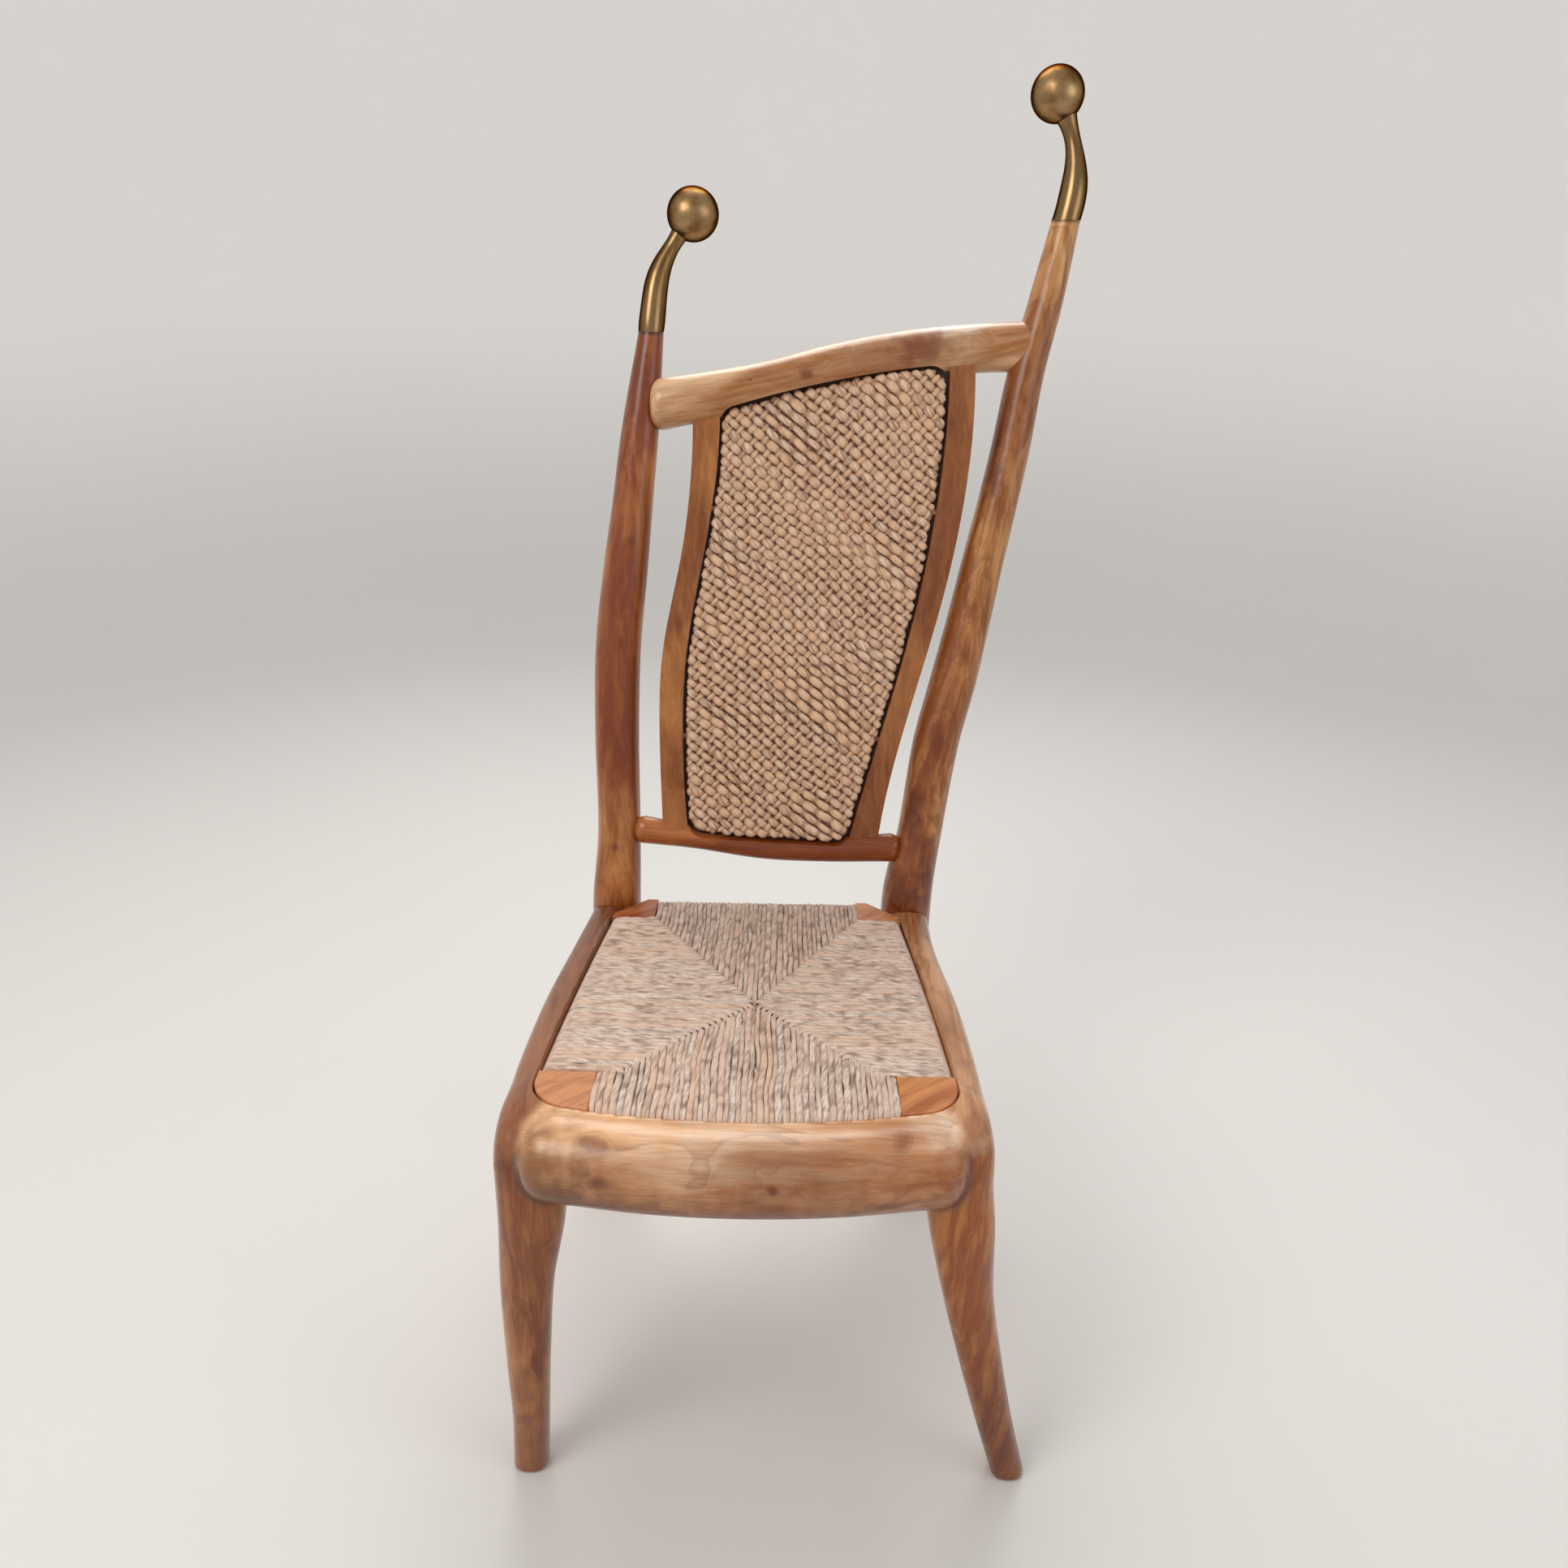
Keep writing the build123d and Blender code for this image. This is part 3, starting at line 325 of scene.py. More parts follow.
def varnished_wood(name, groups, finish, others=(), crease_shade=None):
    """Varnished wood; each other finish is laid over where its share on the mesh says.

    The crease shade is the share on the mesh over which painted shade darkens the creases."""
    gloss = bpy.context.scene.chair_wood.gloss
    made, tree, shader = new_material(
        name, {"Coat Weight": gloss, "Coat Roughness": 0.24, "Specular IOR Level": 0.12})
    here = object_place(tree)
    colour, rough, height = wood_grain(tree, here, groups, **finish)
    for share, other in others:
        mask = mesh_share(tree, share)
        over, over_rough, over_height = wood_grain(tree, here, groups, **other)
        colour = mix_colour(tree, mask, colour, over)
        rough = mix_value(tree, mask, rough, over_rough)
        height = mix_value(tree, mask, height, over_height)
    # Painted shade: the colour darkens in the creases between the front rail and the legs
    if crease_shade:
        deep = vectors(tree, "MULTIPLY", colour, (0.3, 0.2, 0.14))
        colour = mix_colour(tree, mesh_share(tree, crease_shade), colour, deep)
    tree.links.new(colour, shader.inputs["Base Color"])
    tree.links.new(rough, shader.inputs["Roughness"])
    add_bump(tree, shader, height, 0.0004, 0.35)
    return made


# Wood

# Heights of the brass joints on the left and the right post
POST_TOPS = [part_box(name)[1].z for name in ("left_back_post", "right_back_post")]

# Turns that lay the grain's X axis along X, Y or Z
ALONG_X = (0.0, 0.0, 0.0)
ALONG_Y = (0.0, 0.0, pi / 2)
ALONG_Z = (0.0, -pi / 2, 0.0)

# Reach and tint of the dark joint line under the brass
JOINT_LINE = ((0.2, 0.2, 0.005), (0.25, 0.16, 0.1))

FINISHES = {
    "left_back_post": dict(
        turn=ALONG_Z, pith=(-0.19, 0.24, 0.6), honey=(0.8, 0.55, 0.27),
        brown=(0.82, 0.52, 0.28), stain=0.4,
        knots_and_shade_streaks=(
            ((-0.195, 0.246, 1.036), (0.03, 0.04, 0.085), 1.0, 0.75),
            ((-0.202, 0.215, 0.864), (0.009, 0.02, 0.011), 3.0, 0.8),
            ((-0.225, 0.155, 0.513), (0.007, 0.02, 0.008), 2.0, 0.8),
            ((-0.228, 0.2, 0.76), (0.022, 0.05, 0.17), 0.8, 0.5),
            ((-0.222, 0.18, 0.64), (0.025, 0.04, 0.06), 0.8, 0.4),
        ),
        tints_and_painted_light=(
            # Painted sheen low on the post
            ((-0.215, 0.15, 0.54), (0.06, 0.08, 0.1), (1.15, 1.5, 2.1)),
            ((-0.2, 0.25, POST_TOPS[0]), *JOINT_LINE),
        ),
    ),
    "right_back_post": dict(
        turn=(0.0, -pi / 2 + 0.17, 0.0), pith=(0.15, 0.26, 0.6), honey=(1.02, 0.98, 0.7),
        brown=(0.98, 0.86, 0.6), ring=0.009, line=0.55, streak=0.55, stain=0.25,
        knots_and_shade_streaks=(
            ((0.1515, 0.176, 0.644), (0.018, 0.04, 0.034), 4.5, 0.9),
            # Painted shade: a dark streak on the post's inner face, with rings pushed round it
            ((0.2, 0.24, 1.0), (0.02, 0.05, 0.12), 1.5, 0.9),
            ((0.131, 0.165, 0.555), (0.016, 0.04, 0.09), 1.0, 0.65),
            ((0.12, 0.16, 0.46), (0.03, 0.04, 0.06), 0.6, 0.4),
        ),
        tints_and_painted_light=(
            # Painted shade on the post's inner face, over the same streak
            ((0.2, 0.24, 1.0), (0.026, 0.06, 0.16), (0.5, 0.34, 0.24)),
            ((0.12, 0.13, 0.49), (0.1, 0.12, 0.17), (0.42, 0.22, 0.15)),
            # Painted light on the upper post
            ((0.25, 0.3, 1.17), (0.08, 0.1, 0.12), (1.25, 1.5, 1.7)),
            ((0.25, 0.3, POST_TOPS[1]), *JOINT_LINE),
        ),
    ),
    "crest_rail": dict(
        turn=(0.0, -0.16, 0.0), pith=(0.0, 0.27, 1.05), honey=(1.24, 1.58, 1.95),
        brown=(1.25, 1.4, 1.5), ring=0.014, line=0.25, streak=0.3, stain=0.12,
        knots_and_shade_streaks=(
            ((-0.0087, 0.238, 1.0476), (0.014, 0.02, 0.010), 2.5, 0.8),
            ((0.118, 0.244, 1.079), (0.06, 0.04, 0.032), 1.5, 0.55),
            ((-0.07, 0.232, 1.04), (0.003, 0.02, 0.003), 0.0, 0.9),
            ((0.09, 0.245, 1.07), (0.12, 0.03, 0.05), 0.4, 0.3),
        ),
        # Painted highlight on top of the right end
        tints_and_painted_light=(((0.15, 0.25, 1.1), (0.07, 0.06, 0.02), (1.1, 1.5, 2.3)),),
    ),
    "lower_back_rail": dict(
        turn=ALONG_X, pith=(0.0, 0.2, 0.52), honey=(0.76, 0.5, 0.3), brown=(0.8, 0.52, 0.32),
        ring=0.011, swirl=2.5, line=0.25, stain=0.5,
        knots_and_shade_streaks=(((-0.11, 0.161, 0.505), (0.04, 0.03, 0.014), 1.0, 0.6),),
    ),
    "left_back_slat": dict(
        turn=ALONG_Z, pith=(-0.15, 0.3, 0.8), honey=(0.7, 0.54, 0.3), brown=(0.76, 0.6, 0.36),
        ring=0.02, swirl=2.0, line=0.2, streak=0.4, stain=0.25,
        knots_and_shade_streaks=(((-0.15, 0.21, 0.7725), (0.009, 0.02, 0.022), 1.5, 0.7),),
    ),
    "right_back_slat": dict(
        turn=ALONG_Z, pith=(0.15, 0.3, 0.8), honey=(0.6, 0.45, 0.27), brown=(0.7, 0.55, 0.36),
        ring=0.02, swirl=2.0, line=0.16, streak=0.4, stain=0.2,
    ),
    "front_rail": dict(
        turn=ALONG_X, pith=(-0.06, -0.262, 0.395), honey=(1.3, 1.5, 1.72),
        brown=(1.24, 1.2, 1.2), ring=0.045, swirl=3.5, line=0.42, sharp=9.0, streak=0.2,
        stain=0.35,
        knots_and_shade_streaks=(
            ((-0.028, -0.3275, 0.4128), (0.010, 0.02, 0.008), 3.0, 0.95),
            ((-0.186, -0.300, 0.437), (0.022, 0.02, 0.015), 1.5, 0.65),
            ((-0.177, -0.318, 0.409), (0.022, 0.02, 0.010), 1.5, 0.7),
            ((0.07, -0.318, 0.391), (0.026, 0.03, 0.010), 0.5, 0.7),
            ((0.0837, -0.293, 0.441), (0.016, 0.02, 0.009), 1.5, 0.5),
            ((0.02, -0.318, 0.42), (0.09, 0.05, 0.024), 1.2, 0.0),
        ),
        tints_and_painted_light=(
            ((-0.24, -0.29, 0.40), (0.11, 0.13, 0.07), (0.36, 0.25, 0.17)),
            # Painted shade: darker low on the rail
            ((-0.04, -0.32, 0.35), (0.7, 0.13, 0.078), (0.42, 0.32, 0.26)),
            ((0.16, -0.30, 0.40), (0.08, 0.12, 0.06), (0.75, 0.58, 0.42)),
            # The next two are painted sheen, along the top and on the right end
            ((-0.05, -0.31, 0.43), (0.15, 0.08, 0.04), (0.98, 1.2, 1.6)),
            ((0.13, -0.29, 0.445), (0.06, 0.08, 0.02), (1.1, 1.4, 2.0)),
        ),
    ),
    "rear_seat_rail": dict(
        turn=ALONG_X, pith=(0.0, 0.16, 0.37), honey=(0.68, 0.6, 0.54), ring=0.008, swirl=2.0,
    ),
    # Painted shade: the left side rail's darker honey and brown
    "left_side_rail": dict(
        turn=ALONG_Y, pith=(-0.235, 0.0, 0.36), honey=(0.5, 0.38, 0.33),
        brown=(0.52, 0.4, 0.36), ring=0.012, stain=0.35,
        knots_and_shade_streaks=(((-0.25, -0.26, 0.42), (0.03, 0.06, 0.03), 0.8, 0.45),),
    ),
    # Painted sheen: the right side rail's paler, bluer honey and brown
    "right_side_rail": dict(
        turn=ALONG_Y, pith=(0.125, 0.0, 0.36), honey=(1.02, 1.06, 1.15),
        brown=(1.02, 1.04, 1.15), ring=0.012, stain=0.35,
        knots_and_shade_streaks=(((0.15, -0.265, 0.425), (0.035, 0.055, 0.035), 0.8, 0.55),),
    ),
    "left_front_leg": dict(
        turn=ALONG_Z, pith=(-0.24, -0.25, 0.2), honey=(0.82, 0.68, 0.44),
        brown=(0.8, 0.64, 0.46), line=0.25, stain=0.25,
        tints_and_painted_light=(
            # Darker towards the foot
            ((-0.25, -0.25, 0.02), (0.14, 0.14, 0.26), (0.55, 0.42, 0.42)),
            # Painted shade on top of the knee
            ((-0.262, -0.27, 0.4), (0.035, 0.06, 0.05), (0.8, 0.66, 0.55)),
        ),
    ),
    "right_front_leg": dict(
        turn=(0.0, -pi / 2 + 0.12, 0.0), pith=(0.15, -0.25, 0.2), honey=(1.06, 0.86, 0.5),
        brown=(1.02, 0.82, 0.52), line=0.25, stain=0.2,
        tints_and_painted_light=(
            # Darker towards the foot
            ((0.2, -0.26, 0.02), (0.14, 0.14, 0.26), (0.52, 0.4, 0.3)),
            # Painted sheen on top of the knee
            ((0.16, -0.28, 0.44), (0.06, 0.08, 0.035), (1.15, 1.5, 2.3)),
        ),
    ),
}

# Pieces of the seat frame that are carved as one, and the blocks of the drop-in seat
CARVED = ("left_front_leg", "right_front_leg", "left_side_rail", "right_side_rail",
          "front_rail")
SEAT_BLOCKS = ("front_left_block", "front_right_block", "rear_left_block", "rear_right_block")
SEAT_RAILS = ("seat_front_rail", "seat_rear_rail", "seat_left_rail", "seat_right_rail")

# Further finishes, each with the nodes that share it
SHARED_FINISHES = (
    ("Varnished blocks", SEAT_BLOCKS,
     dict(turn=(0.0, 0.0, radians(38)), pith=(0.3, 0.4, 0.38), honey=(1.0, 0.8, 0.62),
          brown=(1.15, 0.85, 0.68), ring=0.02, swirl=1.5, stain=0.15)),
    ("Plain seat rails", [name for name in nodes if name.endswith("_dowels")] + [*SEAT_RAILS],
     dict(turn=ALONG_X, pith=(0.0, 0.0, 0.2), ring=0.006, swirl=1.0, line=0.2, stain=0.1)),
    ("Dark panel board", ("panel_board",),
     dict(turn=ALONG_Z, pith=(0.0, 0.3, 0.2), honey=(0.34, 0.24, 0.18),
          brown=(0.5, 0.36, 0.3), ring=0.006, swirl=1.0, line=0.2, stain=0.1)),
)

# Carving: the finest form it keeps, the angle that stays sharp, the gap round the drop-in
# seat, how far its plug stands above the ledge, how far its cutter rises above the top, and
# how close points are merged before and after the cut
CARVING_GRAIN = 0.0025
SHARP_ANGLE = radians(50)
SEAT_GAP = 0.002
PLUG_RISE = 0.006
CUTTER_RISE = 0.04
WELD = 1e-6
CUT_WELD = 2e-6

# Knees: their corners, how far round and below them the fill reaches, and its rounds
CORNER_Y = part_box("front_left_block")[0].y + 0.005
CORNER_REACH = 0.075
CORNER_FADE = 0.03
CORNER_DEPTH = 0.055
CORNER_ROUNDS = 36
CORNER_STEPS = 8

# Blur of the seams between the carved pieces, and the painted shade in the front rail's creases
SEAM_BLUR = 0.007
CREASE_REACH = 0.008
CREASE_DROP = 0.012
CREASE_FADE = 0.02


class CHAIR_OT_finish_frame(bpy.types.Operator):
    """Finishes the wood of the frame and carves its seat rails as one body"""

    bl_idname = "chair.finish_frame"
    bl_label = "Finish the frame"

    def execute(self, context):
        groups = {"knot": build_knot_group(), "grain": build_grain_group()}
        for name, finish in FINISHES.items():
            label = "Varnished " + name.replace("_", " ")
            dress(nodes[name], varnished_wood(label, groups, finish))
        for label, names, finish in SHARED_FINISHES:
            material = varnished_wood(label, groups, finish)
            for name in names:
                dress(nodes[name], material)
        carve_seat_frame(varnished_wood(
            "Varnished seat frame", groups, FINISHES[CARVED[0]],
            [(name, FINISHES[name]) for name in CARVED[1:]], "crease_shade"))
        return {"FINISHED"}


def carve_seat_frame(material):
    """Front rail, side rails and front legs carved as one body, smooth on top of the knees."""
    body = bmesh.new()
    for name in (*CARVED, "front_rail_dowels", "side_rail_dowels", "leg_dowels"):
        body.from_mesh(nodes[name].data)
    seat_space(body, SEAT_TOP, PLUG_RISE)
    piece = mesh_piece(body, "seat_frame")
    remesh = piece.modifiers.new("Join", "REMESH")
    remesh.mode = "VOXEL"
    remesh.voxel_size = CARVING_GRAIN
    apply_modifiers(piece)
    fill_knees(piece)

    space = bmesh.new()
    seat_space(space, SEAT_TOP + CUTTER_RISE)
    cutter = mesh_piece(space, "seat_space")
    cut = piece.modifiers.new("Seat", "BOOLEAN")
    cut.operation = "DIFFERENCE"
    cut.solver = "EXACT"
    cut.object = cutter
    apply_modifiers(piece)
    bpy.data.objects.remove(cutter)
    keep_largest(piece)
    for face in piece.data.polygons:
        face.use_smooth = True
    piece.data.set_sharp_from_angle(angle=SHARP_ANGLE)
    share_pieces(piece)
    dress(piece, material)
    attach(piece, "frame")
    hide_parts(*CARVED)


def fill_knees(piece):
    """Fills the hollows between the rails on top of the knees and leaves the rest."""
    mesh = bmesh.new()
    mesh.from_mesh(piece.data)
    mesh.normal_update()
    corners = [Vector((front_corner(name, side), CORNER_Y))
               for side, name in enumerate(("left", "right"))]
    moved = []
    for vertex in mesh.verts:
        spot = vertex.co
        away = min((spot.xy - corner).length for corner in corners)
        near = smooth_step((CORNER_REACH - away) / CORNER_FADE)
        high = smooth_step((spot.z - (SEAT_TOP - CORNER_DEPTH)) / CORNER_FADE)
        if near * high > 0.0:
            moved.append((vertex, spot.copy(), vertex.normal.copy(), near * high))
    verts = [vertex for vertex, _, _, _ in moved]
    for _ in range(CORNER_ROUNDS):
        for _ in range(CORNER_STEPS):
            bmesh.ops.smooth_vert(mesh, verts=verts, factor=0.5, use_axis_x=True,
                                  use_axis_y=True, use_axis_z=True)
        for vertex, old, normal, _ in moved:
            rise = (vertex.co - old).dot(normal)
            if rise < 0.0:
                vertex.co -= normal * rise
    for vertex, old, normal, share in moved:
        vertex.co = old + (vertex.co - old) * share
    for vertex in mesh.verts:
        vertex.co.z = max(vertex.co.z, 0.0)
    mesh.to_mesh(piece.data)
    mesh.free()


def share_pieces(piece):
    """Marks on the mesh how far each point belongs to each carved piece or to a crease of painted
    shade.
    """
    graph = bpy.context.evaluated_depsgraph_get()
    solids = [BVHTree.FromObject(nodes[name], graph) for name in CARVED]
    shares = [[] for _ in CARVED]
    crease_shades = []
    for vertex in piece.data.vertices:
        found = [solid.find_nearest(vertex.co)[3] for solid in solids]
        # Share of painted shade in the crease where the front rail meets a leg, below the seat's
        # top
        close = smooth_step(1 - max(min(found[:2]), found[-1]) / CREASE_REACH)
        low = smooth_step((SEAT_TOP - CREASE_DROP - vertex.co.z) / CREASE_FADE)
        crease_shades.append(close * low)
        for number, share in enumerate(shares):
            rest = min(found[:number], default=SEAM_BLUR)
            share.append(smooth_step(0.5 + (rest - found[number]) / (2 * SEAM_BLUR)))
    for name, share in zip((*CARVED[1:], "crease_shade"), (*shares[1:], crease_shades)):
        kept = piece.data.attributes.new(name, "FLOAT", "POINT")
        kept.data.foreach_set("value", share)


def front_corner(name, side):
    """X of the front corner of the seat frame above the left or the right leg."""
    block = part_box(f"front_{name}_block")[side].x
    return (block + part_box(f"{name}_front_leg")[side].x) / 2


def smooth_step(value):
    """Eases from 0 to 1 as the value goes from 0 to 1."""
    value = min(1.0, max(0.0, value))
    return value * value * (3 - 2 * value)


def seat_space(mesh, top, rise=0.0):
    """Adds the space of the drop-in seat with its gap, from above its ledge up to a height."""
    hull = bmesh.new()
    for name in (*SEAT_BLOCKS, "rush_seat"):
        hull.from_mesh(nodes[name].data)
    bmesh.ops.remove_doubles(hull, verts=hull.verts, dist=WELD)
    found = bmesh.ops.convex_hull(hull, input=hull.verts, use_existing_faces=False)
    spare = {item for item in found["geom_interior"] + found["geom_unused"]
             if isinstance(item, bmesh.types.BMVert)}
    bmesh.ops.delete(hull, geom=list(spare), context="VERTS")
    kept = {item for item in found["geom"] if isinstance(item, bmesh.types.BMFace)}
    bmesh.ops.delete(hull, geom=[face for face in hull.faces if face not in kept],
                     context="FACES_ONLY")
    middle = middle_of(*SEAT_BLOCKS)
    low, high = [Vector(map(pick, *[vertex.co for vertex in hull.verts])) for pick in (min, max)]
    for vertex in hull.verts:
        for axis in (0, 1):
            grow = 1 + 2 * SEAT_GAP / (high[axis] - low[axis])
            vertex.co[axis] = middle[axis] + (vertex.co[axis] - middle[axis]) * grow
        vertex.co.z = top if vertex.co.z > middle.z else vertex.co.z + rise
    data = bpy.data.meshes.new("seat_space")
    hull.to_mesh(data)
    hull.free()
    mesh.from_mesh(data)
    bpy.data.meshes.remove(data)


def link_mesh(mesh, name):
    """Makes a mesh an object in the scene."""
    data = bpy.data.meshes.new(name)
    mesh.to_mesh(data)
    mesh.free()
    piece = bpy.data.objects.new(name, data)
    bpy.context.scene.collection.objects.link(piece)
    return piece


def mesh_piece(mesh, name):
    """Merges a mesh, turns its faces out and makes it an object."""
    bmesh.ops.remove_doubles(mesh, verts=mesh.verts, dist=WELD)
    bmesh.ops.recalc_face_normals(mesh, faces=mesh.faces[:])
    return link_mesh(mesh, name)


def apply_modifiers(piece):
    """Bakes a piece's modifiers into its mesh."""
    graph = bpy.context.evaluated_depsgraph_get()
    data = bpy.data.meshes.new_from_object(piece.evaluated_get(graph))
    piece.modifiers.clear()
    old = piece.data
    piece.data = data
    bpy.data.meshes.remove(old)


def keep_largest(piece):
    """Deletes the scraps and slivers that a cut leaves beside a piece's main body."""
    mesh = bmesh.new()
    mesh.from_mesh(piece.data)
    bmesh.ops.remove_doubles(mesh, verts=mesh.verts, dist=CUT_WELD)
    bmesh.ops.dissolve_degenerate(mesh, edges=mesh.edges, dist=CUT_WELD)
    left = set(mesh.verts)
    islands = []
    while left:
        island = {left.pop()}
        front = list(island)
        while front:
            vertex = front.pop()
            near = {edge.other_vert(vertex) for edge in vertex.link_edges} - island
            island |= near
            front += near
        left -= island
        islands.append(island)
    islands.sort(key=len)
    scraps = [vertex for island in islands[:-1] for vertex in island]
    bmesh.ops.delete(mesh, geom=scraps, context="VERTS")
    mesh.to_mesh(piece.data)
    mesh.free()


def dress(piece, material):
    """Gives every face of a piece one material."""
    if not piece.material_slots:
        piece.data.materials.append(material)
    for slot in piece.material_slots:
        slot.material = material


# Brass


class CHAIR_OT_finish_brass(bpy.types.Operator):
    """Finishes the brass necks and balls"""

    bl_idname = "chair.finish_brass"
    bl_label = "Finish the brass"

    def execute(self, context):
        brass = context.scene.chair_brass
        steel, tree, shader = new_material("Stud steel", {"Metallic": 1.0, "Roughness": 0.35})
        scratch = add_node(tree, "TexNoise", [("Scale", 400.0)]).outputs[0]
        tone = mix_colour(tree, scratch, (0.4, 0.4, 0.42, 1), (0.55, 0.55, 0.57, 1))
        tree.links.new(tone, shader.inputs["Base Color"])
        for side in ("left", "right"):
            dress(nodes[side + "_finial_ball"],
                  satin_brass("Satin brass", brass.ball, 0.3, 1.0, 0.93))
            dress(nodes[side + "_finial_neck"],
                  satin_brass("Polished brass", brass.neck, 0.2, 0.12, 0.85))
            for stud in ("_ball_stud", "_neck_stud"):
                dress(nodes[side + stud], steel)
        return {"FINISHED"}


def satin_brass(name, colour, smooth, stretch, edge):
    """Brass with tarnish clouds, fine rub marks along Z and a browner rim that is a painted dark
    reflection.
    """
    made, tree, shader = new_material(
        name, {"Metallic": 1.0, "Specular Tint": (0.3, 0.17, 0.07, 1)})
    rubbed = vectors(tree, "MULTIPLY", object_place(tree), (1.0, 1.0, stretch))
    marks = speckle(tree, rubbed, 260.0, 4.0, 0.65)[0]
    cloud = speckle(tree, rubbed, 45.0, 3.0, 0.6)[0]
    dull = span(tree, cloud, 0.38, 0.72, 0.0, 0.8, "SMOOTHSTEP")
    tarnish = toned(colour, 0.42, 0.3, 0.18)
    tone = mix_colour(tree, dull, (*colour, 1), tarnish)
    # Painted dark reflection: the colour darkens to brown towards the rim, as the surface turns
    # from the camera
    facing = add_node(tree, "LayerWeight", [("Blend", 0.5)]).outputs["Facing"]
    painted_rim_reflection = span(tree, facing, 0.22, 0.85, 0.0, edge, "SMOOTHSTEP")
    tone = mix_colour(tree, painted_rim_reflection, tone, toned(tarnish, 0.14, 0.14, 0.14))
    tree.links.new(tone, shader.inputs["Base Color"])
    rough = span(tree, cloud, 0.35, 0.7, smooth, smooth + 0.16)
    tree.links.new(rough, shader.inputs["Roughness"])
    add_bump(tree, shader, marks, 0.00012, 0.4)
    return made


# Cords

CORD_SIDES = 8


def waver(seed, along):
    """Smooth wander between -1 and 1."""
    return noise.noise(Vector((seed, along, 0.37 * seed)))


def lay_cord(mesh, layers, path, widths, depth, seed):
    """Adds one flattened cord along a path of places, normals and how deep each place lies.

    Its UV map keeps its girth and its length, its tint its tone, its number and its depth, which
    the material paints as shade."""
    uv, tint = layers
    rings, runs = [], []
    run = 0.0
    tone = 0.5 + 0.9 * waver(seed, 0.3)
    for index, (point, normal, _) in enumerate(path):
        before = path[max(index - 1, 0)][0]
        after = path[min(index + 1, len(path) - 1)][0]
        along = (after - before).normalized()
        side = along.cross(normal).normalized()
        normal = side.cross(along)
        if index:
            run += (point - before).length
        runs.append(run)
        width = widths[index] * (1.0 + 0.16 * waver(seed + 0.5, run * 70.0))
        ring = []
        for corner in range(CORD_SIDES):
            angle = 2 * pi * corner / CORD_SIDES
            offset = side * (cos(angle) * width / 2) + normal * (sin(angle) * depth / 2)
            ring.append(mesh.verts.new(point + offset))
        rings.append(ring)
    number = seed % 1.0
    for index in range(len(rings) - 1):
        for corner in range(CORD_SIDES):
            other = (corner + 1) % CORD_SIDES
            face = mesh.faces.new(
                (rings[index][corner], rings[index][other], rings[index + 1][other],
                 rings[index + 1][corner])
            )
            face.smooth = True
            for loop, girth, ring in zip(face.loops, (corner, corner + 1, corner + 1, corner),
                                         (index, index, index + 1, index + 1)):
                loop[uv].uv = (girth / CORD_SIDES, runs[ring])
                loop[tint] = (tone, number, path[ring][2], 1.0)
    for ring, place in ((rings[0][::-1], path[0]), (rings[-1], path[-1])):
        for loop in mesh.faces.new(ring).loops:
            loop[uv].uv = (0.25, 0.0)
            loop[tint] = (tone, number, place[2], 1.0)


def start_cords():
    """Empty mesh with a UV map and a tint for cords."""
    mesh = bmesh.new()
    return mesh, (mesh.loops.layers.uv.new("cord"), mesh.loops.layers.float_color.new("tint"))


def finish_cords(mesh, name, material, body):
    """Makes the cords an object that rides on a body."""
    bmesh.ops.recalc_face_normals(mesh, faces=mesh.faces[:])
    piece = link_mesh(mesh, name)
    dress(piece, material)
    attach(piece, body)
    return piece


def plant_fibre(name, colour, dark, twist, stretch, warmth, glow, gap):
    """Twisted plant cord: fibres that wind round it, tones between cords, flecks, and painted shade
    at its seams and dips.
    """
    made, tree, shader = new_material(
        name, {"Roughness": 0.62, "Sheen Weight": glow, "Sheen Roughness": 0.5})
    uv = add_node(tree, "UVMap", uv_map="cord").outputs[0]
    tint = add_node(tree, "VertexColor", layer_name="tint").outputs[0]
    tones, number, sunk = add_node(tree, "SeparateColor", [(0, tint)]).outputs
    girth, run, _ = add_node(tree, "SeparateXYZ", [(0, uv)]).outputs
    angle = maths(tree, "MULTIPLY", maths(tree, "MULTIPLY_ADD", run, twist, girth), 2 * pi)
    level = maths(tree, "MULTIPLY_ADD", run, stretch, maths(tree, "MULTIPLY", number, 40.0))
    lane = add_node(
        tree, "CombineXYZ",
        [(0, maths(tree, "COSINE", angle)), (1, maths(tree, "SINE", angle)), (2, level)],
    ).outputs[0]
    strand = speckle(tree, lane, 2.6, 3.0, 0.6)[0]
    fleck = speckle(tree, lane, 1.1, 1.0)[0]
    # Painted shade: the cord darkens towards its sides and underside, where the gaps between cords
    # lie in shade
    top = maths(tree, "SINE", maths(tree, "MULTIPLY", girth, 2 * pi))
    seam = span(tree, top, -0.3, gap, 0.95, 0.0, "SMOOTHSTEP")
    tone = mix_colour(tree, span(tree, strand, 0.32, 0.6, 0.3, 1.0), (*dark, 1), (*colour, 1))
    # The last mask lays painted shade at the cord's sides and where it sinks under other cords
    for mask, over in (
        (span(tree, tones, 0.3, 0.8, 0.0, 0.85), toned(colour, *warmth)),
        (span(tree, fleck, 0.56, 0.72, 0.0, 0.6), (*dark, 1)),
        (maths(tree, "MAXIMUM", seam, maths(tree, "MULTIPLY", sunk, 0.85)),
         toned(dark, 0.85, 0.85, 0.85)),
    ):
        tone = mix_colour(tree, mask, tone, over)
    tree.links.new(tone, shader.inputs["Base Color"])
    add_bump(tree, shader, strand, 0.0009, 0.6)
    return made


# Rush seat

# Where the four seams meet, right of the seat's middle and in front of its rear
RUSH_HUB = Vector((SEAT_X + 0.004, SEAT_REAR - 0.235, 0.0))

